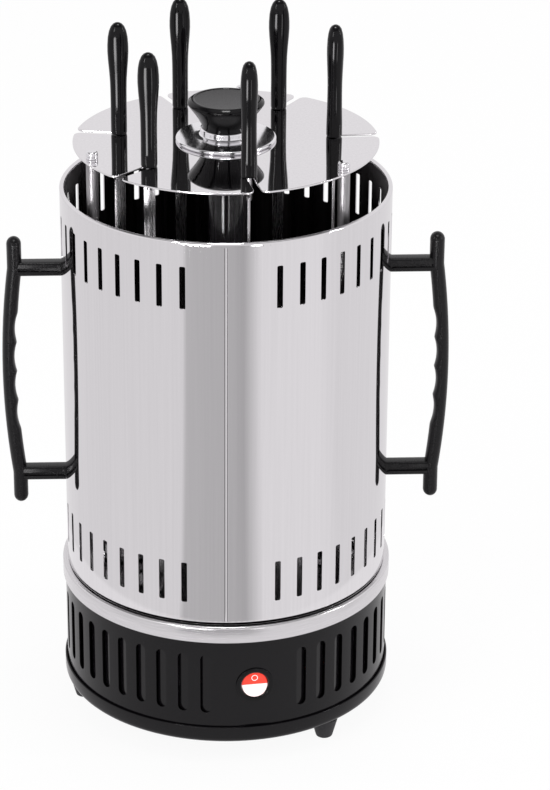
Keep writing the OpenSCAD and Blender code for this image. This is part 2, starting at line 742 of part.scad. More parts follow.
block = [28, 14, 12];
block_gap = 26.5;
block_reach = gland_face - gland_len - block_gap - block[1] / 2;
port_d = 4;
port_pitch = 8;
port_z = floor_z + block[2] / 2;
block_screw_d = 4;
module terminal_block() {
    color(nylon) at(gland_angle, block_reach, floor_z) difference() {
        translate([-block[0] / 2, -block[1] / 2, 0]) cube([block[0], block[1], block[2]]);
        for (k = [-1 : 1]) translate([k * port_pitch, 0, block[2] / 2]) rotate([90, 0, 0])
            cylinder(d = port_d, h = block[1] + 2 * cut, center = true);
        for (k = [-1 : 1]) translate([k * port_pitch, block[1] / 4, block[2] / 2])
            cylinder(d = block_screw_d, h = block[2]);
    }
}

// Heater: ceramic foot, quartz tube, wound ceramic core and a steel cap under the top plate
quartz_r = quartz_d / 2;
quartz_in_r = quartz_r - quartz_t;
heater_flange_d = 36;
heater_flange_h = 3;
heater_body_d = 28;
heater_body_h = 14;
heater_neck_h = 10;
tube_seat_h = 6;
tube_z = deck_z + heater_body_h - tube_seat_h;
cap_d = 26;
cap_h = 22;
cap_round = 6;
cap_z = disc_under - cap_h;
cap_wall = 1.5;
tube_top = cap_z + 9;
collar_h = 5;
core_r = quartz_in_r - wire_d - 1.7;
core_z = tube_z;
core_top = tube_top - rest_gap;
stud_d = 3;
stud_reach = 6;
stud_drop = 4;
module heater_base() {
    color(ceramic) difference() {
        union() {
            translate([0, 0, deck_under - heater_neck_h])
                cylinder(d = heater_neck_d, h = heater_neck_h + sheet_t);
            translate([0, 0, deck_z]) cylinder(d = heater_flange_d, h = heater_flange_h);
            translate([0, 0, deck_z]) cylinder(d = heater_body_d, h = heater_body_h);
        }
        translate([0, 0, tube_z]) cylinder(r = quartz_r + slip_gap, h = tube_seat_h + cut);
        for (s = [-1, 1]) translate([s * stud_reach, 0, deck_under - heater_neck_h - cut])
            cylinder(d = stud_d + 2 * run_gap, h = heater_neck_h + cut);
    }
}

module heater_terminals() {
    color(brass) for (s = [-1, 1]) translate([s * stud_reach, 0, deck_under - heater_neck_h - stud_drop])
        cylinder(d = stud_d, h = heater_neck_h + stud_drop);
}

module quartz_tube() {
    color(quartz) translate([0, 0, tube_z]) tube(quartz_r, quartz_in_r, tube_top - tube_z);
}

module ceramic_core() {
    color(ceramic) {
        translate([0, 0, core_z]) cylinder(r = core_r, h = core_top - core_z);
        for (z = [core_z, core_top - collar_h]) translate([0, 0, z])
            cylinder(r = quartz_in_r - 5 * slip_gap, h = collar_h);
    }
}

// One unbroken wire: straight up from the lower collar, round the core, straight up to the upper collar
coil_r = core_r + wire_d / 2 + 4 * slip_gap;
coil_steps = 24;
coil_lead = 2 * wire_d;
coil_from = core_z + collar_h + coil_lead;
coil_to = core_top - collar_h - coil_lead;
coil_path = concat(
    [[coil_r, 0, coil_from - coil_lead]],
    [for (i = [0 : coil_turns * coil_steps])
        [coil_r * cos(360 * i / coil_steps), coil_r * sin(360 * i / coil_steps),
            coil_from + (coil_to - coil_from) * i / coil_turns / coil_steps]],
    [[coil_r, 0, coil_to + coil_lead]]);
coil_last = len(coil_path) - 1;
wire_sides = 6;
function coil_ring(i) =
    let (
        way = i == 0 || i == coil_last ? [0, 0, 1] : coil_path[i + 1] - coil_path[i - 1],
        out = [coil_path[i][0], coil_path[i][1], 0] / coil_r,
        up = cross(way / norm(way), out)
    )
    [for (j = [0 : wire_sides - 1]) coil_path[i] + wire_d / 2 * (cos(360 * j / wire_sides) * out
        + sin(360 * j / wire_sides) * up)];
// Least distance between points of the wire that lie more than half a turn apart
coil_gap = min([for (i = [1 : coil_steps]) min([for (j = [i + coil_steps / 2 : i + 2 * coil_steps])
    norm(coil_path[i] - coil_path[j])])]) - wire_d;
module heating_coil() {
    echo("least gap of the coil to itself", coil_gap);
    color(resistance_wire) skin([for (i = [0 : coil_last]) coil_ring(i)]);
}

cap_flange_d = 30;
module heater_cap() {
    color(chrome) difference() {
        translate([0, 0, cap_z]) rotate_extrude() polygon(concat(
            [[0, 0], [cap_d / 2, 0]],
            arc([cap_d / 2 - cap_round, cap_h - cap_round], cap_round, 0, 90, 8),
            [[0, cap_h]]));
        translate([0, 0, cap_z - cut])
            cylinder(r = quartz_r + slip_gap, h = tube_top - cap_z + cut + rest_gap);
        translate([0, 0, cap_z - cut]) cylinder(d = quartz_d - 4 * cap_wall, h = cap_h - cap_wall + cut);
        translate([0, 0, cap_z]) cylinder(d = m4_d + 2 * slip_gap, h = cap_h + cut);
    }
}

// Posts, with a long lower stud that clamps deck, spacer and gear plate
nut_h = 3.2;
nut_d = 7.6;
post_shaft_len = deck_z - gear_plate_under + nut_h + 2 * slip_gap;
cap_nut_h = 4.4;
cap_nut_d = 7;
cap_nut_bore = 3;
module posts() {
    color(chrome) for (a = post_angles) at(a, post_reach) {
        translate([0, 0, deck_z]) cylinder(d = post_d, h = disc_under - deck_z);
        translate([0, 0, deck_z - post_shaft_len]) cylinder(d = m4_d, h = post_shaft_len + cut);
        translate([0, 0, disc_under - cut]) cylinder(d = m4_d, h = cut + disc_t + cap_nut_bore - slip_gap);
    }
}

cap_nut_round = 1.2;
cap_nut_groove = 0.3;
module post_cap_nuts() {
    color(chrome) for (a = post_angles) at(a, post_reach, disc_z) difference() {
        rotate_extrude() polygon(concat(
            [[0, 0], [cap_nut_d / 2, 0], [cap_nut_d / 2, cap_nut_h / 4],
                [cap_nut_d / 2 - cap_nut_groove, cap_nut_h / 4 + cap_nut_groove],
                [cap_nut_d / 2, cap_nut_h / 4 + 2 * cap_nut_groove]],
            arc([cap_nut_d / 2 - cap_nut_round, cap_nut_h - cap_nut_round], cap_nut_round, 0, 90),
            [[0, cap_nut_h]]));
        translate([0, 0, -cut]) cylinder(d = m4_d + 2 * run_gap, h = cap_nut_bore + cut);
    }
}

module post_foot_nuts() {
    color(satin_steel) for (a = post_angles) at(a, post_reach, gear_plate_under - nut_h) difference() {
        cylinder(d = nut_d, h = nut_h, $fn = 6);
        translate([0, 0, -cut]) cylinder(d = m4_d + 2 * run_gap, h = nut_h + 2 * cut);
    }
}

// Top plate with an open slot for each skewer and rounded corners where the slots meet the edge
mouth_side = mouth_w / 2;
mouth_steps = 8;
rim_steps = 36;
mouth_centre = [mouth_side + mouth_round,
    sqrt(pow(disc_r - mouth_round, 2) - pow(mouth_side + mouth_round, 2))];
mouth_lean = atan2(mouth_centre[0], mouth_centre[1]);
// Half of a slot's outline as [sideways, outwards], from the rim to the slot's inner end
half_mouth = concat(
    arc(mouth_centre, mouth_round, 90 - mouth_lean, 180, mouth_steps),
    arc([0, skewer_r], mouth_side, 0, -90, mouth_steps));
function flat_spot(a, p, side) = let (s = spot(a, p[1], 0, side * p[0])) [s[0], s[1]];
function disc_outline() =
    [for (k = [skewer_count - 1 : -1 : 0])
        let (
            a = skewer_angle(k),
            next = k == 0 ? skewer_angle(skewer_count - 1) + 360 : skewer_angle(k - 1),
            last = len(half_mouth) - 1
        )
        each concat(
            [for (p = half_mouth) flat_spot(a, p, -1)],
            [for (i = [last - 1 : -1 : 0]) flat_spot(a, half_mouth[i], 1)],
            [for (i = [1 : rim_steps - 1])
                let (turn = a + mouth_lean + (next - a - 2 * mouth_lean) * i / rim_steps)
                flat_spot(turn, [0, disc_r], 1)])];

module top_plate() {
    color(steel) difference() {
        translate([0, 0, disc_under]) linear_extrude(disc_t) polygon(disc_outline());
        translate([0, 0, disc_under - cut]) {
            cylinder(d = m4_d + 2 * slip_gap, h = disc_t + 2 * cut);
            for (a = post_angles) at(a, post_reach)
                cylinder(d = m4_d + 2 * slip_gap, h = disc_t + 2 * cut);
        }
    }
}

// Chrome flange and knob
flange_edge = 1.1;
flange_t = 1;
flange_neck_d = 30;
flange_h = 7.8;
flange_rise = 1.3;
module knob_flange() {
    r = flange_d / 2;
    n = flange_neck_d / 2;
    color(chrome) translate([0, 0, disc_z]) rotate_extrude() polygon(concat(
        [[m4_d / 2 + slip_gap, flange_h - flange_t], [n - 2 * flange_t, flange_h - flange_t],
            [n - flange_t, flange_h / 2], [r - 5 * flange_edge, flange_edge],
            [r - 2 * flange_edge, 0]],
        arc([r - flange_edge, flange_edge], flange_edge, -90, 90, 8),
        [[n + 2 * flange_edge, 2 * flange_edge + flange_rise]],
        arc([n + flange_edge, 3 * flange_edge + flange_rise], flange_edge, -90, -180, 4),
        arc([n - flange_edge, flange_h - flange_edge], flange_edge, 0, 90, 4),
        [[m4_d / 2 + slip_gap, flange_h]]));
}

knob_foot_d = 28;
knob_edge = 0.8;
knob_chamfer = [2.6, 2.1];
knob_inset = 0.35;
knob_bore_depth = 12;
knob_z = disc_z + flange_h;
// Shares of the knob's flare: height below the chamfer, then growth from the foot to the widest radius
knob_flare_shares = [[0, 0], [0.14, 0.04], [0.35, 0.22], [0.58, 0.48], [0.8, 0.76], [1, 1]];
module knob() {
    foot = knob_foot_d / 2;
    r = knob_d / 2;
    color(moulded_black) translate([0, 0, knob_z]) difference() {
        rotate_extrude($fn = 120) polygon(concat(
            [[0, 0]],
            [for (s = knob_flare_shares) [foot + (r - foot) * s[1], (knob_h - knob_chamfer[1]) * s[0]]],
            arc([r - knob_chamfer[0] - knob_edge, knob_h - knob_edge], knob_edge, 45, 90),
            [[r - knob_chamfer[0] - 2 * knob_edge, knob_h - knob_inset], [0, knob_h - knob_inset]]));
        translate([0, 0, -cut]) cylinder(d = m4_d + 2 * run_gap, h = knob_bore_depth + cut);
    }
}

module knob_screw() {
    grip = cap_wall + disc_t + flange_h;
    color(satin_steel) translate([0, 0, disc_under - cap_wall]) mirror([0, 0, 1])
        screw(m4_d, grip + knob_bore_depth - 2 * slip_gap, 2 * m4_d, m3_head_h);
}

// Shell with hemmed edges, a lapped seam at the front and two rows of slots
seam_w = 0.7;
seam_depth = 0.35;
lap_w = 9;
slot_round = 0.8;
slots_left_out = 3;
slot_pitch = 360 / slot_ring_count;
slot_angles = [for (i = [0 : slot_ring_count - slots_left_out - 1])
    shell_turn + ((slots_left_out + 1) / 2 + i) * slot_pitch];
arm_zs = [for (s = [-1, 1]) shell_z + grip_mid + s * arm_span / 2];
module shell() {
    color(steel) difference() {
        union() {
            rotate_extrude($fn = 180) polygon(concat(
                [[shell_r - hem_w, shell_z], [shell_r, shell_z]],
                arc([shell_r - rim_w / 2, shell_top - rim_w / 2], rim_w / 2, 0, 180, 8),
                [[shell_r - rim_w, shell_top - 2 * rim_w], [shell_in_r, shell_top - 2 * rim_w],
                    [shell_in_r, shell_z + sheet_t], [shell_r - hem_w, shell_z + sheet_t]]));
            at(0, shell_in_r - sheet_t / 2, shell_z + sheet_t) translate([-lap_w / 2, -sheet_t, 0])
                cube([lap_w, sheet_t, shell_h - 2 * rim_w - sheet_t]);
        }
        at(0, shell_r, shell_z - cut) translate([-seam_w / 2, -cut, 0])
            cube([seam_w, cut + seam_depth, shell_h + 2 * cut]);
        for (a = slot_angles, z = [slot_low, slot_high])
            facing(a, shell_r - 3 * cut, shell_z + z) linear_extrude(4 * cut)
                rounded_rectangle(slot_w, slot_h, slot_round);
        for (s = [-90, 90], z = arm_zs) facing(shell_turn + s, shell_r - 3 * cut, z)
            cylinder(d = m3_d + 2 * slip_gap, h = 4 * cut);
    }
}

// Carrying handle: a bowed grip with finger grooves on its inner side, on two grooved arms
grip_rings = 44;
grip_sides = 16;
groove_count = 4;
arm_groove = 1.5;
arm_bore_depth = 14;
function grip_bow_at(z) = grip_bow * (1 - pow(2 * z / arm_span, 2));
function finger_groove(z) =
    let (u = z / groove_pitch + groove_count / 2, v = u - floor(u))
    u < 0 || u > groove_count ? 0 : groove_depth * 4 * v * (1 - v);
// The dome at each end: the share of the full section at a distance from the end
function dome(d) = d >= grip_w / 2 ? 1 : sqrt(max(0.01, 1 - pow(1 - 2 * d / grip_w, 2)));
grip_dome_shares = [0, 0.06, 0.2, 0.45, 0.75];
grip_zs = concat(
    [for (s = grip_dome_shares) -grip_len / 2 + s * grip_w / 2],
    [for (i = [0 : grip_rings]) (i / grip_rings - 0.5) * (grip_len - grip_w)],
    [for (i = [len(grip_dome_shares) - 1 : -1 : 0]) grip_len / 2 - grip_dome_shares[i] * grip_w / 2]);
function grip_ring(z) =
    let (full = dome(grip_len / 2 - abs(z)), bow = grip_reach + max(grip_bow_at(z), 0))
    [for (j = [0 : grip_sides - 1])
        let (c = cos(360 * j / grip_sides), s = sin(360 * j / grip_sides))
        [bow + full * c * (grip_w / 2 - (c < 0 ? finger_groove(z) : 0)), full * s * grip_depth / 2, z]];
module carrying_handle() {
    color(moulded_black) translate([0, 0, shell_z + grip_mid]) difference() {
        union() {
            skin([for (z = grip_zs) grip_ring(z)]);
            for (s = [-1, 1]) translate([shell_r - 3 * cut, -arm_depth / 2, s * arm_span / 2 - arm_h / 2])
                cube([grip_reach - shell_r + 3 * cut, arm_depth, arm_h]);
        }
        for (s = [-1, 1], t = [-1, 1]) translate([shell_r - 3 * cut, t * arm_depth / 2 - arm_groove / 2,
            s * arm_span / 2 - arm_groove / 2])
                cube([grip_reach - grip_w / 2 - shell_r + 2 * cut, arm_groove, arm_groove]);
        for (s = [-1, 1]) translate([shell_r - 3 * cut, 0, s * arm_span / 2]) rotate([0, 90, 0])
            cylinder(d = m3_d + 2 * run_gap, h = arm_bore_depth + 3 * cut);
        translate([0, 0, -grip_len]) cylinder(r = shell_r + run_gap, h = 2 * grip_len, $fn = 180);
    }
}
module right_handle() { rotate([0, 0, shell_turn]) carrying_handle(); }
module left_handle() { rotate([0, 0, shell_turn]) mirror([1, 0, 0]) carrying_handle(); }

module handle_screws() {
    color(satin_steel) for (s = [-90, 90], z = arm_zs) facing(shell_turn + s, shell_in_r - slip_gap, z)
        mirror([0, 0, 1]) screw(m3_d, sheet_t + arm_bore_depth - slip_gap, m3_head_d, m3_head_h);
}

// Internal leads. Each route is a few places tied to what it joins, rounded by cutting its corners.
lead_d = 2.2;
lead_sides = 8;
function cut_corners(p, times) = times == 0 ? p : cut_corners(concat([p[0]],
    [for (i = [0 : len(p) - 2]) each [p[i] * 0.75 + p[i + 1] * 0.25, p[i] * 0.25 + p[i + 1] * 0.75]],
    [p[len(p) - 1]]), times - 1);
function ahead(p, i) = let (w = p[min(i + 1, len(p) - 1)] - p[max(i - 1, 0)]) w / norm(w);
function square_to(v, w) = let (u = v - (v * w) * w) u / norm(u);
function side_vectors(p, i, v) = i == len(p) ? [] :
    let (u = square_to(v, ahead(p, i))) concat([u], side_vectors(p, i + 1, u));
module lead(places) {
    p = cut_corners(places, 2);
    sides = side_vectors(p, 0, [0.31, 0.52, 0.8]);
    skin([for (i = [0 : len(p) - 1])
        let (u = sides[i], v = cross(ahead(p, i), u))
        [for (j = [0 : lead_sides - 1]) p[i] + lead_d / 2 * (cos(360 * j / lead_sides) * u
            + sin(360 * j / lead_sides) * v)]]);
}
function port(k) = spot(gland_angle, block_reach - block[1] / 2, port_z, k * port_pitch);
function spade_end(k, run = 0) = spot(switch_angle, bezel_face - switch_depth - spade[2] - run,
    switch_z + k * spade_pitch);
function stud_end(s) = [s * stud_reach, 0, deck_under - heater_neck_h - stud_drop];
lead_run = 12;
lead_low = floor_z + lead_run / 3;
motor_way = [cos(wide_angle), sin(wide_angle), 0];
motor_end = motor_place + (motor_d / 2 - 2 * cut + motor_box[0]) * motor_way;
function motor_port(t) = [motor_end[0], motor_end[1], gear_plate_under - motor_h + motor_box[2] / 2]
    + t * [-motor_way[1], motor_way[0], 0];
module wiring() {
    color(copper_lead) {
        lead([port(1), port(1) - [0, lead_run, 0], [-3 * lead_run, 0, lead_low],
            spot(switch_angle - 30, 4 * lead_run, lead_low), spade_end(-1, lead_run),
            spade_end(-1)]);
        lead([port(0), port(0) - [0, lead_run, 0], stud_end(-1) - [0, 0, 2 * lead_run], stud_end(-1)]);
        lead([spade_end(0), spade_end(0, lead_run), stud_end(1) - [0, lead_run / 2, 2 * lead_run],
            stud_end(1) - [0, 0, lead_run / 2], stud_end(1)]);
        lead([motor_port(lead_d), motor_port(lead_d) + lead_run * motor_way,
            port(-1) + [3 * lead_run, 0, lead_run], port(-1) - [0, lead_run, 0], port(-1)]);
        lead([motor_port(-lead_d), motor_port(-lead_d) + lead_run * motor_way,
            motor_end - motor_way[0] * [0, 2 * motor_d, 0] + [0, 0, lead_low + lead_run],
            spade_end(1, lead_run), spade_end(1)]);
    }
}

bottom_plate();
feet();
base_housing();
deck_tray();
gear_plate();
frame_pillars();
pillar_screws();
post_spacers();
motor_body();
motor_screws();
motor_pinion();
deck_bushes();
plate_bushes();
switch_body();
switch_terminals();
switch_rocker();
cord_gland();
terminal_block();
wiring();
heater_base();
heater_terminals();
quartz_tube();
ceramic_core();
heating_coil();
heater_cap();
posts();
post_cap_nuts();
post_foot_nuts();
top_plate();
knob_flange();
knob();
knob_screw();
spindle_gear_1();
spindle_gear_2();
spindle_gear_3();
spindle_gear_4();
spindle_gear_5();
spindle_gear_6();
spindle_1();
spindle_2();
spindle_3();
spindle_4();
spindle_5();
spindle_6();
skewer_blade_1();
skewer_blade_2();
skewer_blade_3();
skewer_blade_4();
skewer_blade_5();
skewer_blade_6();
skewer_handle_1();
skewer_handle_2();
skewer_handle_3();
skewer_handle_4();
skewer_handle_5();
skewer_handle_6();
shell();
left_handle();
right_handle();
handle_screws();
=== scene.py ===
"""Upright electric skewer grill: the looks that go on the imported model."""

import logging
import math
from dataclasses import dataclass, field
from enum import Enum
from typing import Callable, Sequence

import bmesh
import bpy
from bmesh.types import BMEdge, BMesh, BMVert
from bpy.types import ID, Material, Mesh, Node, NodeSocket, NodeTree, Object, World
from mathutils import Matrix, Vector


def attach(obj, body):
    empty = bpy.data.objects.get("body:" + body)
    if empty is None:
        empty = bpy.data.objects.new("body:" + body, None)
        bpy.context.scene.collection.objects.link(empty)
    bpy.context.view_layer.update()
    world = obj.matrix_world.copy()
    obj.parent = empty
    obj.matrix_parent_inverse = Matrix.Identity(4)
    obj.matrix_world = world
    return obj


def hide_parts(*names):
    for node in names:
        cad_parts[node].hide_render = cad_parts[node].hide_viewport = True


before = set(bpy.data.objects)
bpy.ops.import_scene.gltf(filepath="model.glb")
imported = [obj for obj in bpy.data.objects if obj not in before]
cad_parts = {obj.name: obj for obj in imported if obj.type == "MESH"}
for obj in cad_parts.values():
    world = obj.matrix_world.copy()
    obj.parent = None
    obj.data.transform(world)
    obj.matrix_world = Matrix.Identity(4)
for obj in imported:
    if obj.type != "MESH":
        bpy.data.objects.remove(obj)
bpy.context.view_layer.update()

LOG = logging.getLogger("grill")
MM = 0.001
FULL_TURN = 2 * math.pi
# Points and planes closer than these are one, in millimetres.
NEAR = 1e-3
CLOSE = 1e-4
WHITE = (1.0, 1.0, 1.0, 1.0)
# The photograph's whites have this much less green.
GREEN_CAST = 0.985
# Distance from the axis at which marks that run round it have their true length, in metres.
MARKS_REACH = 0.1
# Share of the noise's range that a finish spreads over.
NOISE_RANGE = (0.3, 0.7)
Corner = tuple[float, float]
# Radius and height of each corner of a turned piece, and the tangent length of its rounding.
Outline = tuple[tuple[float, ...], ...]
Stops = tuple[Corner, ...]
Place = tuple[float, float, float]
Colour = tuple[float, float, float, float]


def linear(hex_colour: str) -> Colour:
    """Turns an sRGB hex colour into linear values.

    Args:
        hex_colour: The colour, such as "#C8C6C8".

    Returns:
        Linear red, green and blue, and full alpha.
    """
    parts = [int(hex_colour[i : i + 2], 16) / 255 for i in (1, 3, 5)]
    red, green, blue = (c / 12.92 if c <= 0.04045 else ((c + 0.055) / 1.055) ** 2.4 for c in parts)
    return (red, green, blue, 1.0)


def grey(value: float) -> Colour:
    """Linear grey with a slight magenta cast."""
    return (value, value * GREEN_CAST, value, 1.0)


def greys(stops: Stops) -> list[tuple[float, Colour]]:
    """Stops of a ramp, from pairs of position and grey."""
    return [(place, grey(value)) for place, value in stops]


def add_node(tree: NodeTree, kind: str, inputs: dict | Sequence = (), **settings: object) -> Node:
    """Adds a node with its settings and links.

    Args:
        tree: The node tree.
        kind: The node's type, without the prefix that all shader nodes share.
        inputs: What its sockets get, by name or number or in order: a value, the socket that
            feeds it, or a node whose first output does.
        settings: Attributes to set on the node.

    Returns:
        The new node.
    """
    node = tree.nodes.new("ShaderNode" + kind)
    for name, value in settings.items():
        setattr(node, name, value)
    for socket, value in inputs.items() if isinstance(inputs, dict) else enumerate(inputs):
        if isinstance(value, Node):
            value = value.outputs[0]
        if isinstance(value, NodeSocket):
            tree.links.new(value, node.inputs[socket])
        else:
            node.inputs[socket].default_value = value
    return node


def set_stops(ramp: Node, stops: Sequence[tuple[float, Colour]]) -> None:
    """Gives a colour ramp its stops.

    Args:
        ramp: The colour ramp node.
        stops: Pairs of position and linear colour, in order.
    """
    elements = ramp.color_ramp.elements
    for element, (place, colour) in zip(elements, (stops[0], stops[-1])):
        element.position, element.color = place, colour
    for place, colour in stops[1:-1]:
        elements.new(place).color = colour


def cleared(owner: Material | World) -> NodeTree:
    """The emptied node tree of a material or a world."""
    owner.use_nodes = True
    owner.node_tree.nodes.clear()
    return owner.node_tree


class Marks(Enum):
    """Which way the fine marks of a surface run."""

    GRAIN = "even in all directions"
    ROUND = "round the grill's axis"
    UPRIGHT = "up and down"


@dataclass(frozen=True)
class Finish:
    """A real material with the way its surface was made."""

    name: str
    colour: str
    shade: str
    roughness: float
    spread: float = 0.05
    metallic: float = 0.0
    ior: float = 1.5
    coat: float = 0.0
    coat_roughness: float = 0.08
    transmission: float = 0.0
    glow: float = 0.0
    marks: Marks = Marks.GRAIN
    mark_mm: float = 0.6
    mark_length: float = 1.0
    bump_mm: float = 0.0
    wave_mm: float = 0.0
    wave_size_mm: float = 60.0

    def place_marks(self, tree: NodeTree) -> Node:
        """Makes coordinates in which the marks are one unit wide.

        Args:
            tree: The material's nodes.

        Returns:
            The node with the coordinates.
        """
        here = add_node(tree, "TexCoord").outputs["Object"]
        across = 1 / (self.mark_mm * MM)
        along = across / self.mark_length
        sizes = (across, across, across)
        if self.marks is Marks.UPRIGHT:
            sizes = (across, across, along)
        elif self.marks is Marks.ROUND:
            # Angle, distance from the axis and height take the place of X, Y and Z.
            x, y, z = add_node(tree, "SeparateXYZ", [here]).outputs
            turn = add_node(tree, "Math", [x, y], operation="ARCTAN2")
            flat = add_node(tree, "VectorMath", [here, (1, 1, 0)], operation="MULTIPLY")
            reach = add_node(tree, "VectorMath", [flat], operation="LENGTH").outputs["Value"]
            here = add_node(tree, "CombineXYZ", [turn, reach, z])
            sizes = (MARKS_REACH * along, across, across)
        return add_node(tree, "VectorMath", [here, sizes], operation="MULTIPLY")

    def material(self) -> Material:
        """Builds the material once and hands it out again after that.

        Returns:
            The material.
        """
        found = bpy.data.materials.get(self.name)
        if found:
            return found
        made = bpy.data.materials.new(self.name)
        tree = cleared(made)
        inputs = {"Vector": self.place_marks(tree), "Scale": 1.0, "Detail": 3.0, "Roughness": 0.6}
        marks = add_node(tree, "TexNoise", inputs)
        low, high = NOISE_RANGE
        tint = add_node(tree, "ValToRGB", [marks])
        set_stops(tint, [(low, linear(self.shade)), (high, linear(self.colour))])
        least, most = max(self.roughness - self.spread, 0.0), self.roughness + self.spread
        inputs = {
            "Base Color": tint,
            "Roughness": add_node(tree, "MapRange", [marks, low, high, least, most]),
            "Metallic": self.metallic,
            "Coat Weight": self.coat,
            "Coat Roughness": self.coat_roughness,
            "Transmission Weight": self.transmission,
            "Emission Strength": self.glow,
            "Emission Color": linear(self.colour),
        }
        if not self.metallic:
            inputs["IOR"] = self.ior
        bent = {}
        if self.wave_mm:
            here = add_node(tree, "TexCoord").outputs["Object"]
            size = 1 / (self.wave_size_mm * MM)
            waves = add_node(tree, "TexNoise", {"Vector": here, "Scale": size, "Detail": 1.0})
            bump = {"Height": waves, "Distance": self.wave_mm * MM, "Strength": 1.0}
            bent = {"Normal": add_node(tree, "Bump", bump)}
        if self.bump_mm:
            bump = {"Height": marks, "Distance": self.bump_mm * MM, "Strength": 1.0}
            bent = {"Normal": add_node(tree, "Bump", bump | bent)}
        surface = add_node(tree, "BsdfPrincipled", inputs | bent)
        add_node(tree, "OutputMaterial", {"Surface": surface})
        return made


# Polished 430 stainless sheet: a slightly wavy mirror with faint drawing lines up the roll.
POLISHED_SHEET = Finish(
    "polished_stainless_sheet", "#EAE8EA", "#E6E4E6", 0.02, 0.012, metallic=1.0,
    marks=Marks.UPRIGHT, mark_mm=1.6, mark_length=80, wave_mm=0.02, wave_size_mm=70,
)
# Painted shade: the same sheet, dull and nearly black, on the shell's inside and along the seam's edges.
PAINTED_SHADE_SHEET = Finish(
    "painted_shade_stainless_sheet", "#5A5658", "#343033", 0.3, 0.08, metallic=1.0,
    marks=Marks.UPRIGHT, mark_mm=7.0, mark_length=30,
)
# Mirror-polished top plate: flat, bright, hardly marked.
MIRROR_PLATE = Finish(
    "mirror_polished_plate", "#EDEBED", "#E6E4E6", 0.03, 0.015, metallic=1.0,
    mark_mm=1.5, wave_mm=0.03, wave_size_mm=90,
)
# Spun stainless ring: satin with fine marks round it.
SPUN_STEEL = Finish(
    "spun_stainless_ring", "#E6E4E6", "#D6D4D6", 0.2, 0.06, metallic=1.0,
    marks=Marks.ROUND, mark_mm=0.5, mark_length=40, bump_mm=0.001,
)
# Chrome plate over steel: a clean mirror.
CHROME = Finish("chrome_plate", "#F0EFF1", "#E8E7EA", 0.03, 0.015, metallic=1.0, mark_mm=2.0)
# The flange's chrome, rubbed by many hands: the same plate with softer reflections.
WORN_CHROME = Finish("hand_worn_chrome", "#F4F3F5", "#EDECEF", 0.13, 0.03, metallic=1.0, mark_mm=2.0)
# Drawn steel tube of the posts: satin, with the die's marks running along it.
DRAWN_TUBE = Finish(
    "drawn_steel_tube", "#B4B2B4", "#878587", 0.4, 0.07, metallic=1.0,
    marks=Marks.UPRIGHT, mark_mm=0.5, mark_length=60, bump_mm=0.004,
)
# Skewer steel, polished along its length: softly shining, slightly grey.
BLADE_STEEL = Finish(
    "polished_skewer_steel", "#C4C2C4", "#A9A7A9", 0.26, 0.06, metallic=1.0,
    marks=Marks.UPRIGHT, mark_mm=0.4, mark_length=30, bump_mm=0.002,
)
# Zinc-plated steel of the hidden frame and screws: dull and cool grey.
ZINC_STEEL = Finish("zinc_plated_steel", "#B4B4B6", "#8E8E92", 0.34, 0.08, metallic=1.0, mark_mm=5.0)
# Painted shade: the ring's seat under the shell, a matt black line where the gap under the shell's edge is
# in shadow.
PAINTED_SHADE_SEAT = Finish("painted_shade_seat", "#0C0B0C", "#060506", 0.6, 0.1, metallic=1.0, mark_mm=2.0)
# Stove enamel on the louvred band: deep black, glossy, faint orange peel.
BLACK_ENAMEL = Finish(
    "black_stove_enamel", "#0E0C0F", "#0A090B", 0.13, 0.03, ior=1.33, mark_mm=1.2, bump_mm=0.01,
)
# Injection-moulded phenolic of the skewer handles, the switch and the knob: glossy black.
GLOSS_PHENOLIC = Finish("gloss_black_phenolic", "#0B0A0C", "#080709", 0.1, 0.02, ior=1.3, mark_mm=1.0)
# The grips and the knob's top: the same plastic with a satin mould face.
SATIN_PHENOLIC = Finish(
    "satin_black_phenolic", "#111012", "#0D0C0E", 0.3, 0.06, ior=1.33, mark_mm=0.7, bump_mm=0.012,
)
# Moulded rubber of the feet and the lead's grommet: matt, a little greyer than the plastics.
BLACK_RUBBER = Finish("moulded_black_rubber", "#242326", "#1B1A1D", 0.6, 0.08, mark_mm=1.0, bump_mm=0.02)
# Translucent red acrylic of the rocker: a painted glow makes it glow a little.
RED_ACRYLIC = Finish("red_acrylic_painted_glow", "#FF3A20", "#E82C16", 0.14, 0.03, coat=0.5, glow=0.35, mark_mm=3.0)
# Painted highlight: the lower half of the rocker, nearly white and glowing for the glare on its upturned
# face; on the off mark the pale is print and the glow is painted.
PALE_ACRYLIC_PAINTED_HIGHLIGHT = Finish("pale_acrylic_painted_highlight", "#FFF1EF", "#FBDEDA", 0.16, 0.03, coat=0.4, glow=0.4, mark_mm=4.0)
# Fused quartz of the heater tube, smoked by the fat: half clear, with soft highlights.
QUARTZ = Finish(
    "smoked_fused_quartz", "#6A686C", "#565458", 0.07, 0.03, ior=1.6, coat=1.0, coat_roughness=0.12,
    transmission=0.8, mark_mm=6.0,
)
# Fired steatite ceramic: matt cream with a fine speckle.
CERAMIC = Finish("fired_steatite", "#E2DCCF", "#D2CABA", 0.62, 0.08, mark_mm=1.5, bump_mm=0.02)
# The core inside the tube, greyed by heat.
BURNT_CERAMIC = Finish("heat_greyed_ceramic", "#4A4644", "#2E2B2A", 0.6, 0.1, mark_mm=3.0, bump_mm=0.02)
# Oxidised resistance wire: brown-grey, half dull.
HEATING_WIRE = Finish("oxidised_resistance_wire", "#6E6661", "#4B4440", 0.4, 0.08, metallic=1.0, mark_mm=0.8)
# Turned brass of the pinion and the terminals: yellow, with fine tool marks.
BRASS = Finish("turned_brass", "#C9A24A", "#B08A38", 0.28, 0.06, metallic=1.0, mark_mm=0.5, bump_mm=0.002)
# Moulded nylon of the gears and bushes: off-white and softly dull.
NYLON = Finish("moulded_nylon", "#E9E4D6", "#DDD6C4", 0.42, 0.06, mark_mm=1.5, bump_mm=0.008)
# Silicone-covered lead: dull brick red.
LEAD_SILICONE = Finish("red_silicone_sleeve", "#8A3325", "#742A1E", 0.5, 0.06, mark_mm=1.2, bump_mm=0.01)


